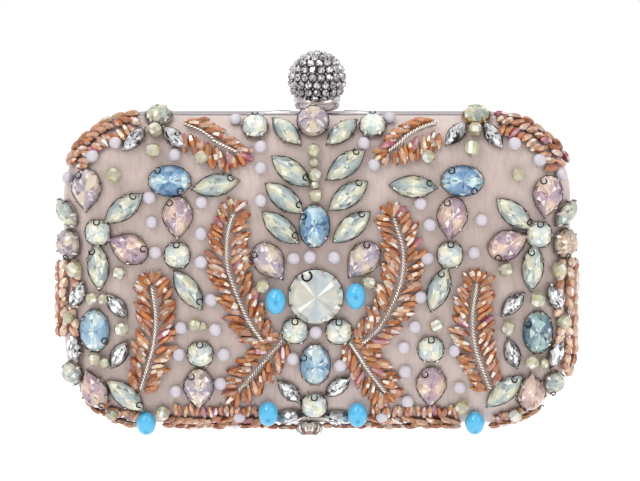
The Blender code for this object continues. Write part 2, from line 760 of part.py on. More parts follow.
def make_spray(name, half_width, stem, parent):
    """A spray of bugle leaves as one leaf shaped sheet lying on the satin."""
    rows = []
    for station in range(SPRAY_STATIONS):
        share = station / (SPRAY_STATIONS - 1)
        place, direction = along_line(stem, share)
        width = half_width * (SPRAY_TIP_SHARE + (1 - SPRAY_TIP_SHARE) * math.sin(math.pi * share))
        sideways = Vector((-direction.y, direction.x))
        row = []
        for column in SPRAY_COLUMNS:
            across = place + sideways * width * column
            point, normal = seat(across.x, across.y)
            row.append(point + normal * JEWEL_GAP)
        rows.append(row)
    sheet_part(name, rows, SPRAY_THICKNESS, parent)


def make_edge_band(name, edge, start, end, parent):
    """A band of edging beads as one sheet round the shell's rounded edge."""
    rows = []
    for turn in BAND_TURNS:
        inset, depth = edge_profile(turn, -JEWEL_GAP)
        if edge == "bottom":
            row = [(x * MM, -depth, inset) for x in (start, end)]
        else:
            side = -1 if edge == "left" else 1
            row = [(side * (RIM_WIDTH / 2 - inset), -depth, z * MM) for z in (start, end)]
        rows.append(row)
    sheet_part(name, rows, BAND_THICKNESS, parent)


# ---------------------------------------------------------------- assembly


def make_half(prefix, side, parent):
    """The rim, satin cover, board and lining of one half."""
    rim = make_rim(f"{prefix}_rim", side, parent)
    make_layer(f"{prefix}_satin_cover", side, parent, SATIN, 0.0, SATIN_THICKNESS, SHELL_START)
    make_layer(f"{prefix}_board", side, parent, BOARD, BOARD_OFFSET, BOARD_THICKNESS, SHELL_START)
    make_layer(f"{prefix}_lining", side, parent, LINING, LINING_OFFSET, LINING_THICKNESS, LINING_START)
    return rim


def make_hinges(back, front):
    for word, place in (("left", -HINGE_PLACE), ("right", HINGE_PLACE)):
        make_hinge_leaf(f"hinge_leaf_back_{word}", BACK, place, back)
        make_hinge_leaf(f"hinge_leaf_front_{word}", FRONT, place, front)
        make_hinge_pin(f"hinge_pin_{word}", place, back)


def make_clasp(back, front, clasp, back_rim):
    make_bracket(back)
    make_pivot_pin(back)
    make_spring(back)
    make_lever(clasp)
    make_cup(clasp)
    make_ball(clasp)
    make_keeper(front)
    slot_low = (-EAR_INSIDE, SLOT_DEPTHS[0], RIM_HEIGHT - 2 * RIM_THICKNESS)
    slot_high = (EAR_INSIDE, SLOT_DEPTHS[1], RIM_HEIGHT + RIM_THICKNESS)
    cut(back_rim, box_mesh("stem_slot", slot_low, slot_high))


def make_jewels(front):
    make_centre_stone(front)
    make_top_stone(front)
    make_ovals(front)
    make_pears(front)
    make_turquoise_beads(front)
    for name, (half_width, stem) in SPRAYS.items():
        make_spray(name, half_width, stem, front)
    for name, (edge, start, end) in EDGE_BANDS.items():
        make_edge_band(name, edge, start, end, front)


clear_scene()
PARTS = make_collection("evening_bag")
CUTTERS = make_collection("cutters")
BAG_FRAME = make_empty("bag_frame", (0, -RESTING_POINT_DEPTH, 0))
SHELL_HINGE = make_empty("shell_hinge", (0, 0, 0), BAG_FRAME)
CLASP_PIVOT = make_empty("clasp_pivot", (0, PIVOT_DEPTH, PIVOT_HEIGHT), BAG_FRAME)
FRONT_SATIN = BVHTree.FromBMesh(shell_surface(FRONT, 0.0, SHELL_START))

BACK_RIM = make_half("back", BACK, BAG_FRAME)
make_half("front", FRONT, SHELL_HINGE)
make_hinges(BAG_FRAME, SHELL_HINGE)
make_clasp(BAG_FRAME, SHELL_HINGE, CLASP_PIVOT, BACK_RIM)
make_jewels(SHELL_HINGE)
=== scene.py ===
"""Looks of the evening bag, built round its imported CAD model.

Shapes are drawn in bag millimetres: x to the bag's right seen from the front, y backwards from the
parting plane of the two halves, z up from the foot of the rims. bag_mesh() turns them into the row frame.
A stone or a bead is drawn lying on its own XY plane and is then stood on the satin.
"""

import math
import random

import bpy
import numpy as np
from mathutils import Matrix, Vector, noise


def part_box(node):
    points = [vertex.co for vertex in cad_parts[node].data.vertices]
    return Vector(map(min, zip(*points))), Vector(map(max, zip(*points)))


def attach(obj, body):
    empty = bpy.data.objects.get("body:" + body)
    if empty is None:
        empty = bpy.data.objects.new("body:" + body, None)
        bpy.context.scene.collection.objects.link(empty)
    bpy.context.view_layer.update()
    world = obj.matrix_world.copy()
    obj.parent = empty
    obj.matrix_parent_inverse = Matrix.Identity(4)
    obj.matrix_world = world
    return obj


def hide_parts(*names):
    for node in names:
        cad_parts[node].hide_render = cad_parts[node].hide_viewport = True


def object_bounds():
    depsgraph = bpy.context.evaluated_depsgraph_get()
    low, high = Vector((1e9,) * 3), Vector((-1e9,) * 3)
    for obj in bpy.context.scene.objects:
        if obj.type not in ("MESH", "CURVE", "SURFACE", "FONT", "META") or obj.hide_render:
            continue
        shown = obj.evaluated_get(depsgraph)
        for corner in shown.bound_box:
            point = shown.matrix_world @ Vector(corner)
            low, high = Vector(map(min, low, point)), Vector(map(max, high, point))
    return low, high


MM = 0.001

# ---------------------------------------------------------------- the frame and its driving dimensions

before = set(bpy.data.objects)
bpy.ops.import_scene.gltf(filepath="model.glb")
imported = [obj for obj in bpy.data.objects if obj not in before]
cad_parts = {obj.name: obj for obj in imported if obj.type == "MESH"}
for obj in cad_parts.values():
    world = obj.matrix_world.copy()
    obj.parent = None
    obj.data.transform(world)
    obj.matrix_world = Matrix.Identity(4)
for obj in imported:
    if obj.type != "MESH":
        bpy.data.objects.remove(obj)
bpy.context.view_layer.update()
RIM_LOW, RIM_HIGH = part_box("front_rim")
BACK_RIM_LOW, BACK_RIM_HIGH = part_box("back_rim")
SATIN_LOW, SATIN_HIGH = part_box("front_satin_cover")

PARTING_Y = (RIM_HIGH.y + BACK_RIM_LOW.y) / 2
HALF_WIDTH = (RIM_HIGH.x - RIM_LOW.x) / 2 / MM
HALF_HEIGHT = (RIM_HIGH.z - RIM_LOW.z) / 2 / MM
RIM_HEIGHT = 2 * HALF_HEIGHT
PARTING_GAP = (BACK_RIM_LOW.y - RIM_HIGH.y) / 2 / MM
RIM_DEPTH = (PARTING_Y - RIM_LOW.y) / MM
SATIN_START = (PARTING_Y - SATIN_HIGH.y) / MM
CROWN_DEPTH = (PARTING_Y - SATIN_LOW.y) / MM

CORNER_RADIUS = 27.0
EDGE_RADIUS = 12.0
EDGE_START = SATIN_START + 0.3
EDGE_TURN = math.radians(70)
EDGE_INSET = EDGE_RADIUS * (1 - math.cos(EDGE_TURN))
EDGE_DEPTH = EDGE_START + EDGE_RADIUS * math.sin(EDGE_TURN)
DOME_RISE = CROWN_DEPTH - EDGE_DEPTH

FRONT = -1
BACK = 1

CORNER_STEPS = 14
TOP_STEPS = 30
SIDE_STEPS = 14
EDGE_STEPS = 12
DOME_STEPS = 24

TUCK = 0.5
SATIN_THICKNESS = 0.8
BOARD_OFFSET = 1.1
BOARD_THICKNESS = 1.6
LINING_OFFSET = 3.0
LINING_THICKNESS = 0.8
LINING_START = 5.6

CLOTH_SCALE = 0.01
CLOTH_SLACK = 0.03
CLOTH_PRESSURE = 0.6
CLOTH_FRAMES = 24

# ---------------------------------------------------------------- places of the jewels on the front satin
# x and z in bag millimetres. Angles turn the long axis anticlockwise from +X, seen from the front.

MARQUISE_SIZE = (15.4, 7.2)
SMALL_MARQUISE_SIZE = (13.0, 6.4)
CLEAR_MARQUISE_SIZE = (10.2, 5.2)
ROUND_SIZE = 8.4
STONE_HEIGHT = 4.0
SMALL_STONE_HEIGHT = 3.4
JEWEL_GAP = 0.4

OPAL_MARQUISES = (
    (-8.5, 85.5, -38), (9.4, 87.4, 38), (-10.7, 76.8, -38), (10.2, 77.6, 36),
    (-11.9, 67.3, -41), (11.3, 67.5, 39), (-33.0, 81.0, 11), (31.4, 80.5, -3),
    (-63.0, 73.5, 37), (64.4, 71.5, -41), (-71.6, 54.2, 94), (70.6, 53.8, 85),
    (-42.1, 46.8, -55), (39.8, 47.0, 70), (-63.0, 11.4, -41), (61.7, 13.0, 42),
)
TOP_MARQUISES = ((-10.0, 97.6, -53), (8.2, 97.4, 48))
CLEAR_MARQUISES = (
    (-59.7, 95.4, 50), (45.5, 97.0, 55), (-46.7, 96.0, -47), (57.5, 96.6, -63),
    (-78.0, 44.3, 60), (77.6, 43.7, -62), (-65.6, 41.2, -48), (64.1, 41.8, 45),
    (-79.0, 26.8, -75), (78.0, 25.2, 65), (-65.0, 25.0, 59), (64.1, 25.5, -72),
    (-9.0, 13.0, -46), (6.8, 14.6, 40), (-9.2, 4.6, 15), (6.7, 4.4, -15),
)
OPAL_ROUNDS = (
    (-71.6, 65.4), (72.6, 64.7), (-45.6, 58.2), (43.4, 58.3), (-38.3, 25.6), (37.3, 27.2),
    (-7.2, 33.4), (7.2, 33.2), (-0.9, 8.2), (-20.3, 98.9), (18.2, 99.2),
)
WHITE_BEADS = (
    (-65.6, 94.2), (-72.8, 89.8), (-80.8, 82.6), (-46.5, 90.7), (-54.6, 77.0), (-26.7, 100.8),
    (-18.4, 93.3), (-18.4, 86.5), (-18.4, 76.0), (-37.7, 75.5), (-37.9, 65.3), (-37.9, 56.0),
    (-34.7, 43.5), (-53.9, 69.0), (-52.7, 59.0), (-7.6, 57.3), (-2.3, 57.7), (-0.4, 33.0),
    (-7.9, 24.1), (-30.7, 25.5), (-33.3, 33.7), (-44.4, 34.2), (-45.2, 25.3), (-31.7, 15.7),
    (-46.5, 13.0), (-25.6, 4.6), (5.6, 57.6), (7.6, 21.8), (15.3, 94.4), (18.6, 87.5),
    (23.8, 101.2), (64.4, 94.0), (72.3, 88.7), (79.2, 83.8), (33.8, 75.0), (36.8, 68.2),
    (53.7, 69.7), (36.0, 57.2), (51.3, 58.9), (33.8, 44.4), (32.1, 34.6), (28.5, 27.8),
    (45.0, 26.6), (29.1, 19.7), (47.0, 14.2), (29.9, 9.6), (21.5, 4.6),
)
WHITE_BEAD_SIZE = 4.3
YELLOW_BEADS = (
    (-53.0, 97.6, 5.0), (-53.4, 92.0, 5.2), (-66.3, 84.3, 5.4), (-37.8, 89.8, 4.8), (-78.2, 53.2, 5.6),
    (-64.7, 52.2, 4.6), (-73.7, 43.6, 4.4), (-70.0, 43.4, 4.0), (-80.0, 36.8, 4.6), (-64.0, 33.6, 5.0),
    (-73.0, 23.6, 4.6), (-69.8, 22.4, 3.8), (-40.0, 35.5, 4.4), (-37.4, 34.8, 3.2), (-17.7, 48.2, 4.8),
    (-51.0, 6.5, 5.0), (-67.2, 5.8, 4.6), (-1.0, 92.0, 4.8), (-1.0, 88.2, 3.4), (-0.6, 84.2, 4.6),
    (-0.6, 81.0, 3.2), (-0.4, 77.6, 4.6), (51.7, 97.8, 4.8), (50.6, 92.8, 5.8), (36.3, 90.0, 4.8),
    (65.6, 84.4, 4.8), (16.9, 49.5, 4.6), (61.6, 53.4, 5.0), (78.0, 53.0, 5.4), (72.1, 43.2, 5.4),
    (39.0, 35.2, 4.8), (62.5, 34.0, 5.2), (79.6, 35.4, 4.8), (70.6, 22.6, 5.0), (74.6, 22.0, 3.6),
    (47.8, 8.0, 5.0), (65.0, 5.8, 4.8),
)

# Sprays: the places each stem runs through, from its root to its tip, the spread of the leaves to the
# left and to the right of the stem in degrees, their length and the pitch between them
SPRAYS = {
    "leaf_spray_top_left": (
        ((-43.6, 99.0), (-37.8, 97.2), (-32.3, 94.4), (-26.0, 91.4)), (18, 62), 5.6, 2.2,
    ),
    "leaf_spray_top_right": (
        ((39.0, 99.4), (33.6, 98.0), (29.0, 95.8), (23.4, 91.8)), (62, 18), 5.6, 2.2,
    ),
    "leaf_spray_middle_left": (
        ((-17.8, 30.2), (-22.7, 37.6), (-27.2, 48.4), (-29.2, 56.0), (-29.0, 65.2), (-27.2, 71.8)),
        (50, 50), 5.5, 2.5,
    ),
    "leaf_spray_middle_right": (
        ((14.6, 29.2), (20.1, 34.3), (24.5, 42.0), (27.4, 50.0), (28.0, 60.0), (25.0, 70.5)),
        (50, 50), 5.5, 2.5,
    ),
    "leaf_spray_outer_left": (
        ((-58.0, 13.6), (-55.2, 22.5), (-53.4, 29.0), (-52.6, 38.0), (-53.8, 48.0)), (50, 50), 5.5, 2.5,
    ),
    "leaf_spray_outer_right": (
        ((57.0, 14.0), (54.5, 20.1), (51.8, 28.0), (50.8, 38.0), (52.2, 49.0)), (50, 50), 5.5, 2.5,
    ),
    "leaf_spray_lower_left": (
        ((-11.4, 30.2), (-14.8, 26.2), (-19.8, 20.2), (-26.0, 13.2)), (48, 46), 5.4, 2.5,
    ),
    "leaf_spray_lower_right": (
        ((11.0, 29.6), (13.4, 26.0), (17.4, 19.8), (22.6, 13.0)), (46, 48), 5.4, 2.5,
    ),
}
LEAF_WIDTH = 2.35
CORD_RADIUS = 0.54
CORD_TWIST = 2.1
CORD_STEP = 0.25
OUTER_ROW = 3.0


# ---------------------------------------------------------------- colours


def linear(colour):
    """A colour given in display values from 0 to 255, as linear light."""
    return tuple(((c / 255 + 0.055) / 1.055) ** 2.4 if c > 10 else c / 3295 for c in colour)


def glass(edge, body, cool, warm, flash):
    """The five tones painted on a cut glass's facets: a painted dark edge, its body, two painted reflection tints and a
    painted highlight, its flash.
    """
    return [0.8 * Vector(linear(colour)) for colour in (edge, body, cool, warm, flash)]


# Cut glasses: edge is painted shade, cool and warm are painted reflection tints, flash is a painted highlight.
OPAL = glass((108, 116, 110), (178, 187, 178), (150, 166, 170), (214, 210, 180), (246, 246, 234))
ROUND_OPAL = glass((146, 154, 148), (208, 214, 204), (184, 198, 198), (232, 228, 200), (252, 252, 244))
BLUE = glass((34, 72, 108), (90, 146, 188), (62, 114, 160), (176, 206, 214), (236, 244, 240))
PALE_BLUE = glass((64, 100, 126), (134, 174, 198), (96, 146, 180), (190, 212, 212), (244, 246, 242))
TEAL = glass((26, 44, 60), (84, 122, 148), (46, 78, 108), (150, 184, 178), (222, 238, 228))
PINK = glass((108, 68, 84), (178, 142, 152), (150, 122, 146), (218, 188, 164), (246, 234, 220))
LILAC = glass((100, 78, 96), (172, 154, 162), (148, 134, 158), (214, 194, 170), (246, 238, 224))
CHAMPAGNE = glass((96, 70, 56), (184, 152, 128), (156, 128, 116), (216, 190, 154), (250, 240, 220))
LIME = glass((80, 84, 70), (160, 168, 146), (136, 150, 144), (206, 198, 162), (248, 246, 232))
CENTRE = glass((142, 146, 142), (196, 198, 192), (170, 184, 194), (212, 202, 180), (250, 248, 238))
CLEAR = glass((24, 24, 28), (206, 206, 212), (92, 92, 100), (244, 246, 248), (255, 255, 255))
PAVE = glass((12, 11, 14), (196, 188, 196), (88, 84, 94), (240, 234, 240), (255, 255, 255))
AMBER = glass((104, 42, 16), (190, 104, 58), (152, 72, 34), (228, 150, 98), (255, 240, 228))
MAUVE = glass((112, 54, 42), (194, 124, 100), (160, 92, 72), (236, 180, 158), (255, 246, 244))
PEACH = glass((142, 78, 50), (220, 156, 120), (190, 118, 84), (240, 198, 168), (255, 246, 238))
ROSE = glass((128, 48, 66), (196, 112, 128), (170, 80, 104), (222, 162, 166), (255, 234, 234))
BROWN_PINK = glass((38, 22, 20), (116, 80, 74), (78, 50, 46), (166, 124, 114), (244, 226, 216))
BLUSH = glass((116, 80, 76), (200, 164, 154), (172, 136, 132), (218, 190, 174), (248, 232, 224))
PALE_PEACH = glass((220, 158, 126), (255, 218, 192), (240, 190, 160), (255, 240, 222), (255, 252, 250))
YELLOW = glass((140, 132, 96), (204, 198, 162), (182, 174, 150), (228, 220, 164), (255, 255, 246))
MILK = Vector(linear((188, 182, 190)))
TURQUOISE = Vector(linear((74, 170, 212)))
SILVER = Vector(linear((255, 250, 244)))
# Thin dark strands laid in the gaps of the cord's twist, as painted shade.
CORD_GAP_SHADE = Vector(linear((104, 88, 78)))
BLACK_METAL = Vector(linear((34, 33, 33)))
# Metal tones; on the settings' walls the dark, mid and pale tones are painted shade and painted light.
DARK_METAL = Vector(linear((70, 66, 66)))
MID_METAL = Vector(linear((176, 171, 168)))
PALE_METAL = Vector(linear((214, 210, 206)))


def painted_facet_tone(colours, level, wave, rng, sparkle=0.1, gloom=0.08):
    """The painted tone of a facet, in place of the reflections seen through it: level runs from 0 at the stone's edge
    to 1 at its middle.

    A wave above 0 brings in the warm painted reflection tint and below 0 the cool one, and painted shade darkens the
    facets near the edge. Sparkle and gloom are the shares of facets painted as a highlight (flash) or painted dark."""
    edge, body, cool, warm, flash = colours
    tint = warm if wave > 0 else cool
    tone = body.lerp(tint, min(1.0, abs(wave) * 1.1))
    # Painted shade towards the stone's edge.
    tone = tone.lerp(edge, max(0.0, 0.55 - level) * rng.uniform(0.3, 1.3))
    # Painted highlights and painted dark facets by chance.
    chance = rng.random()
    if chance < sparkle:
        return tone.lerp(flash, rng.uniform(0.5, 1.0))
    if chance > 1 - gloom:
        return tone.lerp(edge, rng.uniform(0.35, 0.85))
    return tone.lerp(flash, rng.uniform(0.0, 0.22))


# ---------------------------------------------------------------- gathering faces into pieces


class Shape:
    """Points, faces and a tone for each face, in bag millimetres, that become one piece."""

    def __init__(self):
        self.points = []
        self.faces = []
        self.tones = []

    def add(self, points, faces, face_tones, place):
        first = len(self.points)
        self.points.extend(place @ Vector(point) for point in points)
        self.faces.extend([first + i for i in face] for face in faces)
        self.tones.extend(face_tones)


def to_row_frame(point):
    return Vector((point[0] * MM, PARTING_Y + point[1] * MM, point[2] * MM))


def bag_mesh(name, points, faces, smooth_angle=None):
    """A mesh in the row frame. A smooth angle rounds the shading between faces flatter than it."""
    mesh = bpy.data.meshes.new(name)
    mesh.from_pydata([to_row_frame(point) for point in points], [], faces)
    mesh.validate()
    if smooth_angle:
        mesh.shade_smooth()
        mesh.set_sharp_from_angle(angle=math.radians(smooth_angle))
    return mesh


def add_piece(name, mesh, material, body, replaced=()):
    piece = bpy.data.objects.new(name, mesh)
    bpy.context.scene.collection.objects.link(piece)
    mesh.materials.append(material)
    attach(piece, body)
    if replaced:
        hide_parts(*replaced)
    return piece


def shape_piece(name, shape, material, body="front_half", smooth_angle=None, replaced=()):
    """Makes a piece from a shape, with its tones as a colour on each face."""
    mesh = bag_mesh(name, shape.points, shape.faces, smooth_angle)
    colours = mesh.color_attributes.new("tone", "FLOAT_COLOR", "CORNER")
    for polygon, tone in zip(mesh.polygons, shape.tones):
        for corner in polygon.loop_indices:
            colours.data[corner].color = (*tone, 1.0)
    return add_piece(name, mesh, material, body, replaced)


def band(first, second, count):
    """Quads between two rings of points that start at the indices first and second."""
    turns = [(i, (i + 1) % count) for i in range(count)]
    return [(first + i, first + j, second + j, second + i) for i, j in turns]


def zigzag(first, second, count):
    """Triangles between two rings, where the second is turned half a step on from the first."""
    faces = []
    for i in range(count):
        j = (i + 1) % count
        faces.append((first + i, first + j, second + i))
        faces.append((second + i, first + j, second + j))
    return faces


def fan(ring, centre, count):
    return [(ring + i, ring + (i + 1) % count, centre) for i in range(count)]


# ---------------------------------------------------------------- the shell's surface


def outline(inset, scale=1.0):
    """The rims' rounded outline, inset and scaled about its middle, anticlockwise from the front."""
    half_width = HALF_WIDTH - inset
    half_height = HALF_HEIGHT - inset
    radius = CORNER_RADIUS - inset
    points = []
    for quarter in range(4):
        side_x = 1 if quarter in (0, 3) else -1
        side_z = 1 if quarter < 2 else -1
        centre = Vector((side_x * (half_width - radius), side_z * (half_height - radius)))
        for step in range(CORNER_STEPS + 1):
            turn = math.radians(90) * (quarter + step / CORNER_STEPS)
            points.append(centre + radius * Vector((math.cos(turn), math.sin(turn))))
        straight = Vector((-2 * side_x, 0)) * (half_width - radius)
        steps = TOP_STEPS
        if quarter in (1, 3):
            straight = Vector((0, -2 * side_z)) * (half_height - radius)
            steps = SIDE_STEPS
        corner_end = points[-1]
        points.extend(corner_end + straight * step / steps for step in range(1, steps))
    return [(scale * point.x, HALF_HEIGHT + scale * point.y) for point in points]


def inset_at(x, z):
    """How far inside the rims' outline a place lies, and the direction from it straight outwards."""
    across = abs(x) - (HALF_WIDTH - CORNER_RADIUS)
    up = abs(z - HALF_HEIGHT) - (HALF_HEIGHT - CORNER_RADIUS)
    if across > 0 and up > 0:
        reach = math.hypot(across, up)
        outwards = Vector((across / reach, up / reach))
    else:
        reach = max(across, up)
        outwards = Vector((1, 0)) if across > up else Vector((0, 1))
    outwards.x *= math.copysign(1, x)
    outwards.y *= math.copysign(1, z - HALF_HEIGHT)
    return CORNER_RADIUS - reach, outwards


def dome_scale(x, z):
    """The scale of the dome's outline that passes through a place on the domed face."""
    low, high = 0.0, 1.0
    for _ in range(24):
        middle = (low + high) / 2
        inset, _ = inset_at(x / middle, HALF_HEIGHT + (z - HALF_HEIGHT) / middle)
        if inset < EDGE_INSET:
            low = middle
        else:
            high = middle
    return high


def depth_at(x, z):
    """Depth of the front satin at a place, forwards of the parting plane."""
    inset, _ = inset_at(x, z)
    if inset < EDGE_INSET:
        turn = math.acos(1 - max(inset, 0.0) / EDGE_RADIUS)
        return EDGE_START + EDGE_RADIUS * math.sin(turn)
    return EDGE_DEPTH + DOME_RISE * (1 - dome_scale(x, z) ** 2)


def seat(x, z):
    """The point on the front satin at a place, and the direction straight out of it."""
    step = 0.05
    slope_x = (depth_at(x + step, z) - depth_at(x - step, z)) / (2 * step)
    slope_z = (depth_at(x, z + step) - depth_at(x, z - step)) / (2 * step)
    normal = Vector((-slope_x, -1.0, -slope_z)).normalized()
    return Vector((x, -depth_at(x, z), z)), normal


def edge_seat(x, z, turn):
    """The point on the rounded edge beside a place, turned from the side wall to the front."""
    inset, outwards = inset_at(x, z)
    turn = math.radians(turn)
    move = inset - EDGE_RADIUS * (1 - math.cos(turn))
    normal = Vector((outwards.x * math.cos(turn), -math.sin(turn), outwards.y * math.cos(turn)))
    depth = EDGE_START + EDGE_RADIUS * math.sin(turn)
    return Vector((x + outwards.x * move, -depth, z + outwards.y * move)), normal


def stand(point, normal, heading, height=0.0):
    """A matrix that stands a shape on a surface, its X axis turned to a heading in the XZ plane."""
    along = Vector((heading[0], 0.0, heading[1]))
    along = (along - along.dot(normal) * normal).normalized()
    axes = Matrix((along, normal.cross(along), normal)).transposed()
    return Matrix.Translation(point + normal * height) @ axes.to_4x4()


def heading_of(angle):
    return Vector((math.cos(math.radians(angle)), math.sin(math.radians(angle))))


def stand_at(x, z, angle, height=JEWEL_GAP):
    return stand(*seat(x, z), heading_of(angle), height)


def stand_on_edge(x, z, turn, angle, height=JEWEL_GAP):
    return stand(*edge_seat(x, z, turn), heading_of(angle), height)


# ---------------------------------------------------------------- material nodes


def new_material(name, roughness, metallic=0.0, **inputs):
    """A Principled material, with further inputs by name, an underscore for each space."""
    material = bpy.data.materials.new(name)
    material.use_nodes = True
    shader = material.node_tree.nodes["Principled BSDF"]
    shader.inputs["Roughness"].default_value = roughness
    shader.inputs["Metallic"].default_value = metallic
    for key, value in inputs.items():
        shader.inputs[key.replace("_", " ")].default_value = value
    return material, shader


def add_node(material, kind, **settings):
    node = material.node_tree.nodes.new(kind)
    for key, value in settings.items():
        setattr(node, key, value)
    return node


def link(material, source, target):
    material.node_tree.links.new(source, target)


def place_node(material, scale=(1, 1, 1), turn=(0, 0, 0)):
    """Places on the piece in millimetres, scaled and turned."""
    coordinates = add_node(material, "ShaderNodeTexCoord")
    mapping = add_node(material, "ShaderNodeMapping")
    mapping.inputs["Scale"].default_value = [factor / MM for factor in scale]
    mapping.inputs["Rotation"].default_value = [math.radians(angle) for angle in turn]
    link(material, coordinates.outputs["Object"], mapping.inputs["Vector"])
    return mapping.outputs["Vector"]


def cloth_node(material, turn, stretch=(1, 1, 1)):
    """Places on a cloth rolled out flat, in millimetres, turned by an angle and stretched."""
    places = add_node(material, "ShaderNodeUVMap", uv_map="weave")
    mapping = add_node(material, "ShaderNodeMapping")
    mapping.inputs["Rotation"].default_value = (0, 0, math.radians(turn))
    mapping.inputs["Scale"].default_value = stretch
    link(material, places.outputs["UV"], mapping.inputs["Vector"])
    return mapping.outputs["Vector"]


def noise_node(material, scale, detail=3.0, stretch=(1, 1, 1), turn=(0, 0, 0)):
    """Noise whose grains are about 1 / scale millimetres across."""
    texture = add_node(material, "ShaderNodeTexNoise")
    texture.inputs["Scale"].default_value = scale
    texture.inputs["Detail"].default_value = detail
    link(material, place_node(material, stretch, turn), texture.inputs["Vector"])
    return texture.outputs["Fac"]


def thread_node(material, pitch, turn, distortion):
    """Fine parallel threads, a pitch of millimetres apart, that run across a cloth at an angle."""
    texture = add_node(material, "ShaderNodeTexWave", bands_direction="X", wave_profile="SIN")
    texture.inputs["Scale"].default_value = 0.314 / pitch
    texture.inputs["Distortion"].default_value = distortion
    texture.inputs["Detail"].default_value = 1.0
    link(material, cloth_node(material, turn), texture.inputs["Vector"])
    return texture.outputs["Fac"]


def ramp_node(material, source, *stops):
    """A colour ramp through stops of a position and a linear colour or a plain value."""
    ramp = add_node(material, "ShaderNodeValToRGB")
    elements = ramp.color_ramp.elements
    while len(elements) < len(stops):
        elements.new(0.5)
    for element, (position, value) in zip(elements, stops):
        element.position = position
        element.color = (*value, 1.0) if hasattr(value, "__len__") else (value, value, value, 1.0)
    link(material, source, ramp.inputs["Fac"])
    return ramp.outputs["Color"]


def math_node(material, operation, first, second):
    node = add_node(material, "ShaderNodeMath", operation=operation)
    for socket, value in zip(node.inputs, (first, second)):
        if isinstance(value, (int, float)):
            socket.default_value = value
        else:
            link(material, value, socket)
    return node.outputs["Value"]


def mix_node(material, blend, share, first, second):
    """Mixes two colours with a blend type."""
    node = add_node(material, "ShaderNodeMix", data_type="RGBA", blend_type=blend)
    values = (("Factor", share), ("A", first), ("B", second))
    for socket_name, value in values:
        socket = next(s for s in node.inputs if s.name == socket_name and s.enabled)
        if isinstance(value, bpy.types.NodeSocket):
            link(material, value, socket)
        else:
            socket.default_value = value if socket_name == "Factor" else (*value, 1.0)
    return next(s for s in node.outputs if s.enabled)


def add_bump(material, shader, height, distance, strength=1.0):
    """Bump of a height in millimetres, over any bump the shader has already."""
    bump = add_node(material, "ShaderNodeBump")
    bump.inputs["Strength"].default_value = strength
    bump.inputs["Distance"].default_value = distance * MM
    link(material, height, bump.inputs["Height"])
    normal = shader.inputs["Normal"]
    if normal.is_linked:
        link(material, normal.links[0].from_socket, bump.inputs["Normal"])
    link(material, bump.outputs["Normal"], normal)


# The face tone; on cut stones, glass beads, settings and the cord it carries painted light and shade.
def tone_node(material):
    return add_node(material, "ShaderNodeAttribute", attribute_name="tone").outputs["Color"]


# ---------------------------------------------------------------- materials


def satin_material(name="satin", colour=(210, 192, 187), shade=(184, 164, 157)):
    """Duchess satin: fine slanted floats that shine in streaks, over slow changes of tone. The weave darkens the colour
    between the floats and in the streaks, as painted shade and sheen over the real weave.
    """
    material, shader = new_material(name, 0.42, Sheen_Weight=0.35, Sheen_Roughness=0.35)
    floats = thread_node(material, 0.62, 38, 3.0)
    threads = thread_node(material, 0.54, -52, 2.4)
    streaks = add_node(material, "ShaderNodeTexNoise")
    streaks.inputs["Scale"].default_value = 0.9
    streaks.inputs["Detail"].default_value = 4.0
    link(material, cloth_node(material, 38, (1.0, 0.25, 1.0)), streaks.inputs["Vector"])
    streaks = streaks.outputs["Fac"]
    clouds = noise_node(material, 0.022, 1.0)
    cloth = ramp_node(material, clouds, (0.25, linear(shade)), (0.75, linear(colour)))
    # Painted shade between the floats and painted sheen along the streaks, over the weave's own pattern.
    crossed = math_node(material, "MULTIPLY", math_node(material, "ADD", floats, threads), streaks)
    weave = ramp_node(material, crossed, (0.15, 0.64), (0.75, 1.0))
    link(material, mix_node(material, "MULTIPLY", 0.9, cloth, weave), shader.inputs["Base Color"])
    roughness = ramp_node(material, streaks, (0.3, 0.34), (0.7, 0.56))
    link(material, roughness, shader.inputs["Roughness"])
    add_bump(material, shader, math_node(material, "ADD", floats, threads), 0.04, 0.6)
    return material


def lining_material():
    """Plain woven lining: threads both ways, duller than the satin."""
    material, shader = new_material("lining", 0.75, Sheen_Weight=0.3)
    warp = thread_node(material, 0.5, 0, 0.5)
    weft = thread_node(material, 0.5, 90, 0.5)
    woven = math_node(material, "MULTIPLY", warp, weft)
    clouds = noise_node(material, 0.03, 1.0)
    light = ramp_node(material, clouds, (0.3, linear((194, 172, 164))), (0.7, linear((206, 186, 178))))
    dark = ramp_node(material, woven, (0.0, 0.76), (0.6, 1.0))
    link(material, mix_node(material, "MULTIPLY", 0.8, light, dark), shader.inputs["Base Color"])
    add_bump(material, shader, woven, 0.06, 0.6)
    return material


def board_material():
    """Grey fibre board between the satin and the lining."""
    material, shader = new_material("board", 0.9)
    fibres = noise_node(material, 1.6, 6.0)
    colour = ramp_node(material, fibres, (0.3, linear((150, 140, 126))), (0.7, linear((186, 178, 164))))
    link(material, colour, shader.inputs["Base Color"])
    add_bump(material, shader, fibres, 0.05, 0.5)
    return material


def metal_material(name, colour, worn, roughness, brushed=(1, 1, 1), toned=False):
    """Plated metal: fine brushing, small scratches and slightly duller worn patches."""
    material, shader = new_material(name, roughness, 1.0)
    brushing = noise_node(material, 2.4, 5.0, stretch=brushed)
    wear = noise_node(material, 0.12, 5.0)
    tint = ramp_node(material, wear, (0.35, linear(colour)), (0.8, linear(worn)))
    lines = ramp_node(material, brushing, (0.3, 0.86), (0.7, 1.0))
    tint = mix_node(material, "MULTIPLY", 0.6, tint, lines)
    # A toned metal is multiplied by its face tones: painted light and shade on the settings' walls, painted shade
    # between the cord's strands.
    if toned:
        tint = mix_node(material, "MULTIPLY", 1.0, tint, tone_node(material))
    link(material, tint, shader.inputs["Base Color"])
    gloss = ramp_node(material, wear, (0.3, roughness), (0.8, roughness + 0.16))
    link(material, gloss, shader.inputs["Roughness"])
    add_bump(material, shader, brushing, 0.01, 0.3)
    return material


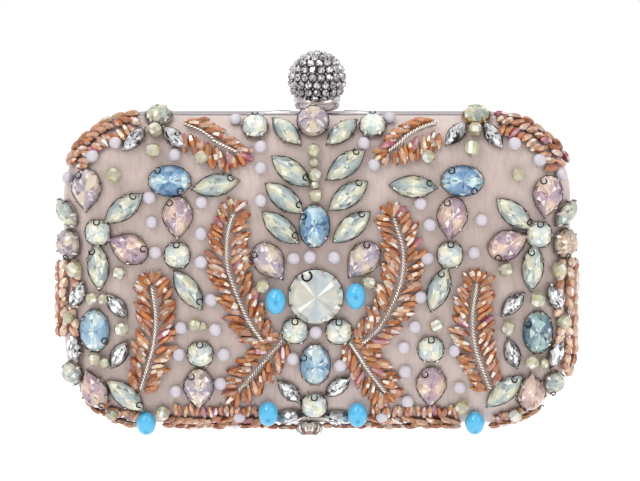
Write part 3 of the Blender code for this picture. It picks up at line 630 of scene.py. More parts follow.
def rim_material():
    """Plated rims: pale on top, with dark lines painted along both edges, a painted reflection of the dark that a
    rolled bead reflects.
    """
    material = metal_material("rim_silver", (236, 230, 234), (206, 198, 202), 0.2, brushed=(0.1, 1, 1))
    shader = material.node_tree.nodes["Principled BSDF"]
    plain = shader.inputs["Base Color"].links[0].from_socket
    coordinates = add_node(material, "ShaderNodeTexCoord")
    parts = add_node(material, "ShaderNodeSeparateXYZ")
    link(material, coordinates.outputs["Object"], parts.inputs["Vector"])
    depth = math_node(material, "ABSOLUTE", math_node(material, "SUBTRACT", parts.outputs["Y"], PARTING_Y), 0)
    share = math_node(material, "DIVIDE", depth, 8 * MM)
    # Painted dark reflections: darker near the parting plane and along the outer edge, by depth.
    lines = ramp_node(material, share, (0.03, 0.5), (0.08, 1.0), (0.74, 1.0), (0.8, 0.16))
    link(material, mix_node(material, "MULTIPLY", 1.0, plain, lines), shader.inputs["Base Color"])
    shader.inputs["Specular Tint"].default_value = (0.55, 0.53, 0.55, 1)
    return material


def gem_material(name, roughness, metallic=0.0, clouds=0.0, coat=0.6, **inputs):
    """Foiled or coloured glass: the tone of each facet with its painted reflections, highlights and shade, drifting
    clouds inside and a clear polished coat.
    """
    material, shader = new_material(name, roughness, metallic, Coat_Weight=coat, Coat_Roughness=0.03, **inputs)
    inside = noise_node(material, 0.35, 3.0)
    veil = ramp_node(material, inside, (0.35, 1.0 - clouds), (0.65, 1.0))
    link(material, mix_node(material, "MULTIPLY", 1.0, tone_node(material), veil), shader.inputs["Base Color"])
    specks = noise_node(material, 1.5, 2.0)
    gloss = ramp_node(material, specks, (0.3, roughness), (0.7, roughness + 0.05))
    link(material, gloss, shader.inputs["Roughness"])
    return material


def bead_material(name, roughness, subsurface, radius):
    """Moulded glass: its own tone with slight swirls, light scattered inside and a glossy skin."""
    material, shader = new_material(
        name, roughness, Subsurface_Weight=subsurface, Subsurface_Scale=radius * MM, Coat_Weight=0.3
    )
    swirls = noise_node(material, 0.5, 4.0)
    veil = ramp_node(material, swirls, (0.3, 0.92), (0.7, 1.0))
    link(material, mix_node(material, "MULTIPLY", 1.0, tone_node(material), veil), shader.inputs["Base Color"])
    gloss = ramp_node(material, swirls, (0.3, roughness), (0.7, roughness + 0.08))
    link(material, gloss, shader.inputs["Roughness"])
    return material


SATIN_LOOK = satin_material()
LINING_LOOK = lining_material()
BOARD_LOOK = board_material()
RIM_LOOK = rim_material()
HARDWARE_LOOK = metal_material("hardware_steel", (200, 198, 196), (150, 146, 144), 0.28)
CUP_LOOK = metal_material("polished_silver", (236, 231, 230), (200, 192, 190), 0.08)
SPRING_LOOK = metal_material("spring_steel", (170, 172, 178), (130, 130, 134), 0.3)
# These toned metals take painted light and shade from their face tones.
SETTING_LOOK = metal_material("setting_silver", (250, 246, 244), (206, 200, 198), 0.2, toned=True)
BRASS_LOOK = metal_material("brass_setting", (255, 218, 150), (214, 172, 112), 0.25, toned=True)
CORD_LOOK = metal_material("cord_silver", (255, 250, 246), (226, 214, 204), 0.3, toned=True)
OPAL_LOOK = gem_material("opal_glass", 0.10, clouds=0.16, Subsurface_Weight=0.15, Subsurface_Scale=0.001)
COLOUR_LOOK = gem_material("coloured_glass", 0.07, clouds=0.14)
CLEAR_LOOK = gem_material("foiled_crystal", 0.05, metallic=0.55, clouds=0.1)
AMBER_LOOK = gem_material(
    "amber_glass", 0.08, clouds=0.2, coat=0.2, Transmission_Weight=0.08, Thin_Film_Thickness=420.0, Thin_Film_IOR=1.6
)
YELLOW_LOOK = gem_material(
    "yellow_glass", 0.08, clouds=0.15, Transmission_Weight=0.15, Thin_Film_Thickness=380.0, Thin_Film_IOR=1.6
)
WHITE_LOOK = bead_material("white_opal_glass", 0.45, 0.2, 0.8)
TURQUOISE_LOOK = bead_material("turquoise_glass", 0.12, 0.1, 0.8)


# ---------------------------------------------------------------- half shells and rims


def unrolled(x, depth, z, offset):
    """Where a place on a half shell lies when its edge and side wall are rolled out flat round its face."""
    inset, outwards = inset_at(x, z)
    beyond = max(0.0, EDGE_INSET - max(inset - offset, 0.0))
    extra = max(0.0, EDGE_DEPTH - depth) if beyond else 0.0
    return x + outwards.x * extra * 0.8, z + outwards.y * extra * 0.8


def shell_points(side, offset, start_depth, puckers=0.0):
    """Rings of points over a half shell's side wall, rounded edge and domed face, and its crown."""
    rings = [(outline(offset + TUCK), start_depth), (outline(offset + TUCK), EDGE_START)]
    radius = EDGE_RADIUS - offset
    for step in range(1, EDGE_STEPS + 1):
        turn = EDGE_TURN * step / EDGE_STEPS
        inset = offset + radius * (1 - math.cos(turn))
        depth = EDGE_START + radius * math.sin(turn)
        rings.append((outline(inset), depth))
    for step in range(1, DOME_STEPS):
        scale = 1 - step / DOME_STEPS
        rings.append((outline(inset, scale), depth + DOME_RISE * (1 - scale**2)))
    points = []
    for ring, ring_depth in rings:
        for x, z in ring:
            pucker = puckers * noise.noise(Vector((x * 0.11, ring_depth * 0.11 + 5 * side, z * 0.11)))
            points.append((x, side * (ring_depth + pucker), z))
    points.append((0.0, side * (depth + DOME_RISE), HALF_HEIGHT))
    return points, len(rings)


def shell_faces(side, ring_count, count):
    faces = []
    for ring in range(ring_count - 1):
        faces.extend(band(ring * count, (ring + 1) * count, count))
    faces.extend(fan((ring_count - 1) * count, ring_count * count, count))
    if side == BACK:
        faces = [tuple(reversed(face)) for face in faces]
    return faces


def settle_cloth(points, faces, held):
    """Lets a sheet swell softly off its board in a short cloth simulation, with its first points held still.

    The sheet is simulated larger than life, where the solver is steady, and its cloth has a little slack."""
    mesh = bpy.data.meshes.new("lining_cloth")
    mesh.from_pydata([Vector(point) * CLOTH_SCALE for point in points], [], faces)
    sheet = bpy.data.objects.new("lining_cloth", mesh)
    scene = bpy.context.scene
    scene.collection.objects.link(sheet)
    sheet.vertex_groups.new(name="held").add(list(range(held)), 1.0, "REPLACE")
    cloth = sheet.modifiers.new("Cloth", "CLOTH")
    cloth.settings.quality = 6
    cloth.settings.mass = 0.2
    cloth.settings.tension_stiffness = 12
    cloth.settings.compression_stiffness = 12
    cloth.settings.shear_stiffness = 6
    cloth.settings.bending_stiffness = 0.3
    cloth.settings.vertex_group_mass = "held"
    cloth.settings.shrink_min = -CLOTH_SLACK
    cloth.settings.use_pressure = True
    cloth.settings.uniform_pressure_force = -CLOTH_PRESSURE
    cloth.settings.effector_weights.gravity = 0.0
    cloth.collision_settings.use_collision = False
    cloth.point_cache.frame_end = CLOTH_FRAMES
    for moment in range(1, CLOTH_FRAMES + 1):
        scene.frame_set(moment)
    settled = sheet.evaluated_get(bpy.context.evaluated_depsgraph_get()).data
    result = [tuple(vertex.co / CLOTH_SCALE) for vertex in settled.vertices]
    bpy.data.objects.remove(sheet, do_unlink=True)
    scene.frame_set(1)
    return result


def add_layer(name, side, material, offset, thickness, start_depth, puckers=0.0, soft=False):
    """One layer of a half shell, as a sheet thickened inwards. A soft one is settled as cloth."""
    points, ring_count = shell_points(side, offset, start_depth, puckers)
    faces = shell_faces(side, ring_count, len(outline(0)))
    if soft:
        points = settle_cloth(points, faces, 3 * len(outline(0)))
    body = "front_half" if side == FRONT else "back_half"
    mesh = bag_mesh(name, points, faces, 50)
    flat = [unrolled(x, side * y, z, offset) for x, y, z in points]
    weave = mesh.uv_layers.new(name="weave")
    for loop in mesh.loops:
        weave.uv[loop.index].vector = flat[loop.vertex_index]
    layer = add_piece(name, mesh, material, body, (name_of_node(name),))
    solidify = layer.modifiers.new("Thickness", "SOLIDIFY")
    solidify.thickness = thickness * MM
    solidify.offset = -1.0
    return layer


def name_of_node(piece_name):
    """The CAD node a piece stands for: the piece's name without its last word."""
    return piece_name.rsplit("_", 1)[0]


def apply_modifiers(piece):
    evaluated = piece.evaluated_get(bpy.context.evaluated_depsgraph_get())
    mesh = bpy.data.meshes.new_from_object(evaluated)
    piece.modifiers.clear()
    piece.data = mesh


def cut_box(piece, low, high):
    """Cuts a box, given in bag millimetres, from a piece."""
    corners = [(x, y, z) for x in (low[0], high[0]) for y in (low[1], high[1]) for z in (low[2], high[2])]
    faces = [(0, 1, 3, 2), (4, 6, 7, 5), (0, 4, 5, 1), (2, 3, 7, 6), (0, 2, 6, 4), (1, 5, 7, 3)]
    cutter = bpy.data.objects.new("cutter", bag_mesh("cutter", corners, faces))
    bpy.context.scene.collection.objects.link(cutter)
    modifier = piece.modifiers.new("Cut", "BOOLEAN")
    modifier.operation = "DIFFERENCE"
    modifier.solver = "EXACT"
    modifier.object = cutter
    bpy.context.view_layer.update()
    apply_modifiers(piece)
    bpy.data.objects.remove(cutter, do_unlink=True)


RIM_SECTION = (
    (0.35, 0.00), (0.10, 0.08), (0.00, 0.35), (0.05, 0.70), (0.22, 1.00), (0.22, 5.60), (0.05, 5.95),
    (0.00, 6.30), (0.10, 6.70), (0.35, 6.85), (2.60, 6.85), (2.60, 6.05), (1.00, 6.05), (1.00, 0.00),
)


def add_rim(name, side):
    """A metal channel with a rolled bead along both edges and a flange behind the board."""
    points = []
    for inset, depth in RIM_SECTION:
        points.extend((x, side * (PARTING_GAP + depth), z) for x, z in outline(inset))
    count = len(outline(0))
    faces = []
    for ring in range(len(RIM_SECTION)):
        faces.extend(band(ring * count, (ring + 1) % len(RIM_SECTION) * count, count))
    if side == BACK:
        faces = [tuple(reversed(face)) for face in faces]
    body = "front_half" if side == FRONT else "back_half"
    mesh = bag_mesh(name, points, faces)
    rim = add_piece(name, mesh, RIM_LOOK, body, (name_of_node(name),))
    for word in ("left", "right"):
        low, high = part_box(f"hinge_pin_{word}")
        clear = 0.6
        notch_low = (low.x / MM - clear, -2.4, -1.0)
        notch_high = (high.x / MM + clear, 2.4, 1.3)
        cut_box(rim, notch_low, notch_high)
    if side == BACK:
        low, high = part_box("clasp_lever")
        half = 2.4
        cut_box(rim, (-half, 1.25, RIM_HEIGHT - 2), (half, 5.0, RIM_HEIGHT + 1))
    rim.data.shade_smooth()
    rim.data.set_sharp_from_angle(angle=math.radians(35))
    return rim


def add_halves():
    for prefix, side in (("front", FRONT), ("back", BACK)):
        add_layer(
            f"{prefix}_satin_cover_fabric", side, SATIN_LOOK,
            0.0, SATIN_THICKNESS, SATIN_START, puckers=0.22,
        )
        add_layer(
            f"{prefix}_board_core", side, BOARD_LOOK,
            BOARD_OFFSET, BOARD_THICKNESS, SATIN_START,
        )
        add_layer(
            f"{prefix}_lining_fabric", side, LINING_LOOK,
            LINING_OFFSET, LINING_THICKNESS, LINING_START, puckers=0.3, soft=True,
        )
        add_rim(f"{prefix}_rim_metal", side)


# ---------------------------------------------------------------- cut stones and their settings


def oval_point(turn):
    return math.cos(turn), math.sin(turn)


def cushion_point(turn):
    """A circle filled out a little towards a square."""
    across, up = math.cos(turn), math.sin(turn)
    reach = (abs(across) ** 2.6 + abs(up) ** 2.6) ** (-1 / 2.6)
    return reach * across, reach * up


def marquise_point(turn):
    return math.cos(turn), math.sin(turn) * abs(math.sin(turn)) ** 0.75


def pear_point(turn):
    u = math.cos(turn)
    if u <= 0:
        return u, math.sin(turn)
    return u, math.sin(turn) * math.sqrt(max(1 - u, 0.0) / (1 + u)) * (1 + 0.6 * u)


def ring_points(form, count, scale, offset, length, width, height):
    """A ring round a stone's outline. The offset turns it by a share of one step."""
    points = []
    for i in range(count):
        x, y = form(2 * math.pi * (i + offset) / count)
        points.append((scale * x * length / 2, scale * y * width / 2, height))
    return points


def add_gem(shape, place, form, length, width, height, colours, rng, count=16, swing=None, **glints):
    """A cut stone. Its table carries the painted pattern of facets that shows through from below, in reflection, with
    painted highlights and painted shade.
    """
    rings = (
        (0.86, 0.0, 0.00), (1.00, 0.0, 0.30), (1.00, 0.0, 0.40),
        (0.86, 0.5, 0.72), (0.62, 1.0, 1.00), (0.30, 1.5, 1.005),
    )
    points = []
    for scale, offset, level in rings:
        points += ring_points(form, count, scale, offset, length, width, height * level)
    points.append((0.0, 0.0, height * 1.01))
    faces = [tuple(reversed(range(count)))]
    levels = [0.0]
    joins = ((band, 0.0), (band, 0.1), (zigzag, 0.3), (zigzag, 0.5), (zigzag, 0.75))
    for ring, (join, level) in enumerate(joins):
        made = join(ring * count, (ring + 1) * count, count)
        faces += made
        levels += [level] * len(made)
    faces += fan(5 * count, 6 * count, count)
    levels += [1.0] * count
    if swing is None:
        swing = rng.uniform(0, 2 * math.pi)
    # Painted reflections: two warm and two cool quarters swung round by an angle.
    made_tones = []
    for face, level in zip(faces, levels):
        middle = sum((Vector(points[i]) for i in face), Vector()) / len(face)
        turn = math.atan2(middle.y * length / width, middle.x)
        wave = 0.9 * math.cos(2 * turn + swing) + rng.uniform(-0.35, 0.35)
        made_tones.append(painted_facet_tone(colours, level, wave, rng, **glints))
    shape.add(points, faces, made_tones, place)


def add_rivoli(shape, place, length, width, height, colours, rng, count=28):
    """A round stone cut to a point: long facets that meet in the middle, over a row of short ones."""
    rings = ((0.86, 0.0, 0.0), (1.0, 0.0, 0.30), (1.0, 0.0, 0.40), (0.80, 0.5, 0.62))
    points = []
    for scale, offset, level in rings:
        points += ring_points(oval_point, count, scale, offset, length, width, height * level)
    points.append((0.0, 0.0, height * 1.08))
    faces = [tuple(reversed(range(count)))]
    levels = [0.0]
    for ring, (join, level) in enumerate(((band, 0.0), (band, 0.1), (zigzag, 0.35))):
        made = join(ring * count, (ring + 1) * count, count)
        faces += made
        levels += [level] * len(made)
    faces += fan(3 * count, 4 * count, count)
    levels += [0.9] * count
    # Painted reflections, highlights and shade on each facet, warm and cool round the stone.
    made_tones = []
    for face, level in zip(faces, levels):
        middle = sum((Vector(points[i]) for i in face), Vector()) / len(face)
        turn = math.atan2(middle.y, middle.x)
        wave = 0.5 * math.cos(turn * 2 + 0.3) + 0.2 * math.cos(turn) + rng.uniform(-0.45, 0.45)
        made_tones.append(painted_facet_tone(colours, level, wave, rng, sparkle=0.1, gloom=0.06))
    shape.add(points, faces, made_tones, place)


def add_tube(shape, place, centres, radius, sides, tone, closed=False):
    """A round wire through a row of centres."""
    points = []
    centres = [Vector(centre) for centre in centres]
    last = len(centres) - 1
    for i, centre in enumerate(centres):
        before = centres[i - 1] if i or closed else centre
        after = centres[(i + 1) % (last + 1)] if i < last or closed else centre
        along = (after - before).normalized()
        across = along.orthogonal().normalized()
        if abs(along.z) < 0.95:
            across = along.cross(Vector((0, 0, 1))).normalized()
        up = along.cross(across)
        for k in range(sides):
            turn = 2 * math.pi * k / sides
            points.append(centre + radius * (across * math.cos(turn) + up * math.sin(turn)))
    faces = []
    for i in range(len(centres) if closed else last):
        faces += band(i * sides, (i + 1) % (last + 1) * sides, sides)
    if not closed:
        faces += [tuple(reversed(range(sides))), tuple(range(last * sides, (last + 1) * sides))]
    shape.add(points, faces, [tone] * len(faces), place)


def add_claw(shape, place, form, turn, length, width, height):
    """A flat claw folded from the setting's wall over the stone's crown."""
    x, y = form(turn)
    outwards = Vector((x * length, y * width, 0)).normalized()
    sideways = Vector((-outwards.y, outwards.x, 0)) * 0.36
    steps = ((1.0, 0.3, 0.0), (1.0, 0.3, 0.40), (0.97, 0.22, 0.54), (0.88, 0.15, 0.74))
    points = []
    for scale, out, level in steps:
        foot = Vector((scale * x * length / 2, scale * y * width / 2, level * height)) + outwards * out
        for thick in (0.0, 0.2):
            lift = (outwards + Vector((0, 0, 0.8 * level))) * thick
            points += [foot - sideways + lift, foot + sideways + lift]
    faces = []
    for i in range(len(steps) - 1):
        a, b = 4 * i, 4 * (i + 1)
        faces += [(a, b, b + 1, a + 1), (a + 2, a + 3, b + 3, b + 2)]
        faces += [(a, a + 2, b + 2, b), (a + 1, b + 1, b + 3, a + 3)]
    end = 4 * (len(steps) - 1)
    faces += [(0, 1, 3, 2), (end, end + 2, end + 3, end + 1)]
    shape.add(points, faces, [PALE_METAL] * len(faces), place)


def add_loop(shape, place, form, turn, length, width, height):
    """A small sewing loop of wire over the stone's edge, open on its outer side, larger on a large stone."""
    x, y = form(turn)
    outwards = Vector((x * length, y * width, 0)).normalized()
    centre = Vector((0.84 * x * length / 2, 0.84 * y * width / 2, 0.84 * height))
    slope = (outwards * 0.8 - Vector((0, 0, 0.45))).normalized()
    sideways = Vector((-outwards.y, outwards.x, 0))
    out = sideways.cross(slope)
    out = out if out.z > 0 else -out
    scale = max(1.0, width / 11)
    radius = LOOP_RADIUS * scale
    wire = LOOP_WIRE * scale
    centres = []
    for k in range(LOOP_STEPS + 1):
        angle = math.radians(LOOP_GAP + (360 - 2 * LOOP_GAP) * k / LOOP_STEPS)
        centres.append(centre + out * 0.3 + radius * (slope * math.cos(angle) + sideways * math.sin(angle)))
    add_tube(shape, place, centres, wire, 6, BLACK_METAL)


LOOP_RADIUS = 1.0
LOOP_WIRE = 0.2
LOOP_STEPS = 12
LOOP_GAP = 42


def add_setting(shape, place, form, length, width, height, claws, loops, count=24):
    """The metal cup round a stone, its wall banded with painted light and shade, with flat claws and sewing loops at
    the given turns.
    """
    wall = ((0.94, 0.0, 0.0), (1.0, 0.12, 0.08), (1.0, 0.22, 0.34), (1.0, 0.12, 0.43), (0.98, 0.0, 0.36))
    points = []
    for scale, out, level in wall:
        for i in range(count):
            x, y = form(2 * math.pi * i / count)
            outwards = Vector((x / length, y / width, 0)).normalized()
            points.append(Vector((scale * x * length / 2, scale * y * width / 2, level * height)) + outwards * out)
    # The wall's bands are painted light and shade: painted shade at its foot, under it and on the inner lip against the
    # stone, paler painted light on the outer wall.
    faces = [tuple(reversed(range(count)))]
    painted_wall_shading = [DARK_METAL]
    for ring, tone in enumerate((DARK_METAL, PALE_METAL, MID_METAL, DARK_METAL)):
        faces += band(ring * count, (ring + 1) * count, count)
        painted_wall_shading += [tone] * count
    faces.append(tuple(range((len(wall) - 1) * count, len(wall) * count)))
    painted_wall_shading.append(DARK_METAL)
    shape.add(points, faces, painted_wall_shading, place)
    for turn in claws:
        add_claw(shape, place, form, math.radians(turn), length, width, height)
    for turn in loops:
        add_loop(shape, place, form, math.radians(turn), length, width, height)


def stone_place(node):
    """Where a CAD stone stands: a matrix with X along the stone and Z out of the satin, and its sizes."""
    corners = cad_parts[node].data.vertices
    points = np.array([(v.co.x / MM, (v.co.y - PARTING_Y) / MM, v.co.z / MM) for v in corners])
    middle = points.mean(axis=0)
    along, across, out = np.linalg.svd(points - middle)[2]
    if out[1] > 0:
        out = -out
    sizes = [float(np.ptp(points @ axis)) for axis in (along, across, out)]
    if sizes[0] < 1.1 * sizes[1]:
        along = np.array((1.0, 0.0, 0.0))
        along = along - along.dot(out) * out
        along /= np.linalg.norm(along)
    across = np.cross(out, along)
    ahead = (points - middle) @ along
    breadth = np.abs((points - middle) @ across)
    if breadth[ahead > 1].mean() > breadth[ahead < -1].mean():
        along, across = -along, -across
    foot = sum(axis * (points @ axis).min() / 2 + axis * (points @ axis).max() / 2 for axis in (along, across))
    foot = foot + out * (points @ out).min()
    matrix = Matrix((along, across, out)).transposed().to_4x4()
    matrix.translation = foot
    return matrix, sizes


BLUE_OVALS = {
    "blue_oval_top": BLUE, "blue_oval_bottom": PALE_BLUE, "blue_oval_upper_left": BLUE,
    "blue_oval_upper_right": BLUE, "blue_oval_lower_left": PALE_BLUE, "blue_oval_lower_right": TEAL,
}
PEARS = {
    "pink_pear_upper_outer_left": LILAC, "pink_pear_upper_outer_right": PINK,
    "pink_pear_upper_left": PINK, "pink_pear_upper_right": PINK,
    "pink_pear_flank_left": PINK, "pink_pear_flank_right": PINK,
    "opal_pear_centre_left": LILAC, "opal_pear_centre_right": LILAC,
    "pink_pear_lower_left": LILAC, "pink_pear_lower_right": PINK,
    "pink_pear_corner_left": PINK, "pink_pear_corner_right": BLUSH,
}


def add_cad_stone(node, form, colours, claws, loops, rng, swing=None):
    """A finely cut stone and its setting in the place of a CAD stone."""
    place, (length, width, height) = stone_place(node)
    stone, setting = Shape(), Shape()
    add_gem(stone, place, form, length, width, height, colours, rng, count=16, swing=swing)
    add_setting(setting, place, form, length, width, height, claws, loops)
    shape_piece(f"{node}_glass", stone, COLOUR_LOOK, replaced=(node,))
    shape_piece(f"{node}_setting", setting, SETTING_LOOK, smooth_angle=40)


def add_cad_stones():
    rng = random.Random(11)
    for node, colours in BLUE_OVALS.items():
        loops = (128, 308) if "upper" in node else (60,)
        add_cad_stone(node, oval_point, colours, (15, 52, 128, 165, 195, 232, 308, 345), loops, rng, swing=0.0)
    for node, colours in PEARS.items():
        add_cad_stone(node, pear_point, colours, (3, 60, 110, 150, 250, 300), (214,), rng)
    add_cad_stone("pink_round_top", oval_point, LILAC, (30, 150, 235, 270, 305), (), rng, swing=math.radians(180))


def add_centre_stone():
    """The large round opal cut to a point, in its own cup with one sewing loop."""
    rng = random.Random(5)
    place, (length, width, height) = stone_place("centre_stone")
    stone, setting = Shape(), Shape()
    add_rivoli(stone, place, length, width, height, CENTRE, rng)
    cup_place, _ = stone_place("centre_setting")
    claws = (20, 45, 75, 135, 165, 200, 225, 250, 290, 315, 340)
    add_setting(setting, cup_place, oval_point, length, width, height + 1, claws, (112,), 40)
    shape_piece("centre_stone_glass", stone, OPAL_LOOK, replaced=("centre_stone",))
    shape_piece(
        "centre_setting_cup", setting, SETTING_LOOK, smooth_angle=40, replaced=("centre_setting",)
    )


def add_stone_group(name, stones, look, setting_look=None):
    """Stones of one kind as one piece, and their settings as another.

    Each stone is its matrix, form, length, width, height, colours, claws and loops."""
    rng = random.Random(len(name))
    glass_shape, metal_shape = Shape(), Shape()
    for place, form, length, width, height, colours, claws, loops in stones:
        # Clear foiled crystals get more painted highlights and painted dark facets.
        glints = {"sparkle": 0.42, "gloom": 0.36} if colours is CLEAR else {}
        add_gem(glass_shape, place, form, length, width, height, colours, rng, count=12, **glints)
        add_setting(metal_shape, place, form, length, width, height, claws, loops, count=20)
    shape_piece(name, glass_shape, look)
    metal = setting_look or SETTING_LOOK
    shape_piece(f"{name}_settings", metal_shape, metal, smooth_angle=40)


def marquise_stones(places, size, height, row, loop):
    claws = (2, 178, 70, 290)
    return [
        (stand_at(x, z, angle), marquise_point, *size, height, row, claws, (loop,) if loop else ())
        for x, z, angle in places
    ]


def add_marquises():
    for side, word in ((-1, "left"), (1, "right")):
        for name, places, size, height, row, loop, look, slot in (
            ("opal_marquises", OPAL_MARQUISES, MARQUISE_SIZE, STONE_HEIGHT, OPAL, 38, OPAL_LOOK, "opal_glass"),
            ("top_marquises", TOP_MARQUISES, SMALL_MARQUISE_SIZE, STONE_HEIGHT, OPAL, 0, OPAL_LOOK, "opal_glass"),
            ("clear_marquises", CLEAR_MARQUISES, CLEAR_MARQUISE_SIZE, SMALL_STONE_HEIGHT, CLEAR, 0,
             CLEAR_LOOK, "crystal"),
        ):
            chosen = [place for place in places if place[0] * side > 0]
            add_stone_group(f"{name}_{word}", marquise_stones(chosen, size, height, row, loop), look)


def add_rounds():
    stones = []
    for x, z in OPAL_ROUNDS:
        stones.append((
            stand_at(x, z, 0), cushion_point, ROUND_SIZE, ROUND_SIZE, STONE_HEIGHT, ROUND_OPAL,
            (0, 60, 120, 180, 240, 300), (90,),
        ))
    add_stone_group("opal_rounds", stones, OPAL_LOOK)


def edge_stone(x, z, turn, angle, size, row, form=oval_point, loops=()):
    return (
        stand_on_edge(x, z, turn, angle), form, *size, STONE_HEIGHT, row, (0, 60, 120, 180, 240, 300), loops,
    )


def add_edge_stones():
    """Stones on the rounded edge that show in the bag's outline."""
    add_stone_group(
        "top_edge_stone_left", [edge_stone(-52.0, 104, 26, 0, (8.8, 8.8), LIME)], COLOUR_LOOK
    )
    add_stone_group(
        "top_edge_stone_right", [edge_stone(52.4, 104, 26, 0, (8.8, 8.8), LIME)], COLOUR_LOOK,
        BRASS_LOOK,
    )
    sides = [
        edge_stone(-84, 61.0, 44, 90, (10.0, 10.0), LILAC, loops=(200,)),
        edge_stone(84, 61.4, 44, 90, (10.0, 10.0), CHAMPAGNE, loops=(160,)),
    ]
    add_stone_group("side_edge_stones", sides, COLOUR_LOOK)
    opals = [
        edge_stone(-84, 71.4, 42, -32, (11.6, 6.2), OPAL, marquise_point),
        edge_stone(84, 71.4, 44, 30, (11.2, 6.0), OPAL, marquise_point),
        edge_stone(-84, 17.0, 40, 90, (8.0, 8.0), OPAL),
        edge_stone(80.6, 13.9, 46, 90, (7.8, 7.8), OPAL, loops=(150,)),
    ]
    add_stone_group("side_edge_opals", opals, OPAL_LOOK)
    foot = (
        stand_on_edge(-2.6, -1, 16, 0), oval_point, 8.4, 8.4, STONE_HEIGHT, BROWN_PINK, (48, 76, 104, 132, 200, 340), ()
    )
    add_stone_group("bottom_edge_stone", [foot], COLOUR_LOOK)


# ---------------------------------------------------------------- beads


def lathe(profile, sides, half_step=False):
    """Points and faces of a profile of (place along X, radius) turned round the X axis."""
    points = []
    for ring, (x, radius) in enumerate(profile):
        shift = 0.5 * (ring % 2) if half_step else 0.0
        for k in range(sides):
            turn = 2 * math.pi * (k + shift) / sides
            points.append((x, radius * math.cos(turn), radius * math.sin(turn)))
    faces = []
    for ring in range(len(profile) - 1):
        faces += band(ring * sides, (ring + 1) * sides, sides)
    last = (len(profile) - 1) * sides
    faces += [tuple(reversed(range(sides))), tuple(range(last, last + sides))]
    return points, faces


def add_smooth_bead(shape, place, length, width, height, tone):
    """A moulded bead with a dimple round its thread hole at each end."""
    profile = [(-0.42, 0.06)]
    for step in range(13):
        turn = math.radians(12 + (180 - 24) * step / 12)
        profile.append((-0.5 * math.cos(turn), 0.5 * math.sin(turn)))
    profile.append((0.42, 0.06))
    points, faces = lathe(profile, 18)
    points = [(x * length, y * width, z * height) for x, y, z in points]
    shape.add(points, faces, [tone] * len(faces), place)


def painted_bead_tones(faces, points, colours, rng, sparkle=0.12):
    """Painted tones for the facets of a bead of clear glass: pale where it looks outwards, with painted highlights on
    some of those facets, and painted shade round its sides.
    """
    edge, body, cool, warm, flash = colours
    made = []
    for face in faces:
        a, b, c = (Vector(points[i]) for i in face[:3])
        facing = (b - a).cross(c - a).normalized().z
        tone = body.lerp(rng.choice((cool, warm)), rng.uniform(0.1, 0.7))
        # Painted highlight on some facets that look outwards.
        if rng.random() < sparkle and facing > 0.1:
            tone = tone.lerp(flash, rng.uniform(0.6, 1.0))
        # Painted shade on facets that turn away to the sides.
        made.append(tone.lerp(edge, min(0.9, max(0.0, 0.85 - facing) * rng.uniform(0.6, 1.1))))
    return made


def add_faceted_bead(shape, place, size, colours, rng):
    """A fire polished bead: bands of flat facets between its two holes."""
    profile = [(-0.44, 0.12), (-0.40, 0.30), (-0.22, 0.47), (0.0, 0.5), (0.22, 0.47), (0.40, 0.30), (0.44, 0.12)]
    points, faces = lathe([(x * size, radius * size) for x, radius in profile], 8)
    # Painted highlights and shade on the facets.
    shape.add(points, faces, painted_bead_tones(faces, points, colours, rng, sparkle=0.25), place)


DROP_PROFILE = ((-0.5, 0.08), (-0.34, 0.34), (0.0, 0.5), (0.30, 0.44), (0.5, 0.10))


def add_drop(shape, place, length, width, colours, rng):
    """A faceted drop bead, slim and pointed at both ends."""
    points, faces = lathe([(x * length, radius * width) for x, radius in DROP_PROFILE], 6)
    # Painted highlights and shade on the facets.
    shape.add(points, faces, painted_bead_tones(faces, points, colours, rng, sparkle=0.15), place)


def add_white_beads():
    shape = Shape()
    rng = random.Random(3)
    for x, z in WHITE_BEADS:
        size = WHITE_BEAD_SIZE * rng.uniform(0.96, 1.04)
        place = stand_at(x, z, rng.uniform(0, 180), 0.4 * size)
        add_smooth_bead(shape, place, 0.94 * size, size, 0.8 * size, MILK * rng.uniform(0.95, 1.04))
    shape_piece("white_opal_beads", shape, WHITE_LOOK, smooth_angle=60)


def add_yellow_beads():
    shape = Shape()
    rng = random.Random(4)
    for x, z, size in YELLOW_BEADS:
        place = stand_at(x, z, rng.uniform(0, 180), size / 2 + 0.1)
        add_faceted_bead(shape, place, size, YELLOW, rng)
    shape_piece("yellow_faceted_beads", shape, YELLOW_LOOK)


def add_turquoise_beads():
    """Oval beads sewn on through a hole across them, so that their long sides stand upright."""
    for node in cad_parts:
        if not node.startswith("turquoise_bead"):
            continue
        place, (length, width, height) = stone_place(node)
        place = place @ Matrix.Translation((0, 0, height / 2)) @ Matrix.Rotation(math.radians(90), 4, "Z")
        shape = Shape()
        add_smooth_bead(shape, place, 1.12 * width, 1.06 * length, height, TURQUOISE)
        shape_piece(
            f"{node}_glass", shape, TURQUOISE_LOOK, smooth_angle=60, replaced=(node,)
        )


# ---------------------------------------------------------------- leaf sprays and edging


def smooth_path(places, step):
    """Evenly spaced places on a smooth curve through the given ones, each with its direction."""
    places = [Vector(place) for place in places]
    ends = [2 * places[0] - places[1]] + places + [2 * places[-1] - places[-2]]
    fine = []
    for a, b, c, d in zip(ends, ends[1:], ends[2:], ends[3:]):
        for k in range(40):
            t = k / 40
            curve = 2 * b + (c - a) * t + (2 * a - 5 * b + 4 * c - d) * t**2 + (3 * b - a - 3 * c + d) * t**3
            fine.append(curve / 2)
    fine.append(places[-1])
    path = []
    travelled, wanted = 0.0, 0.0
    for a, b in zip(fine, fine[1:]):
        span = (b - a).length
        while travelled + span >= wanted and span > 0:
            share = (wanted - travelled) / span
            path.append((a.lerp(b, share), (b - a).normalized()))
            wanted += step
        travelled += span
    return path


def turned(direction, angle):
    angle = math.radians(angle)
    return Vector((
        direction.x * math.cos(angle) - direction.y * math.sin(angle),
        direction.x * math.sin(angle) + direction.y * math.cos(angle),
    ))


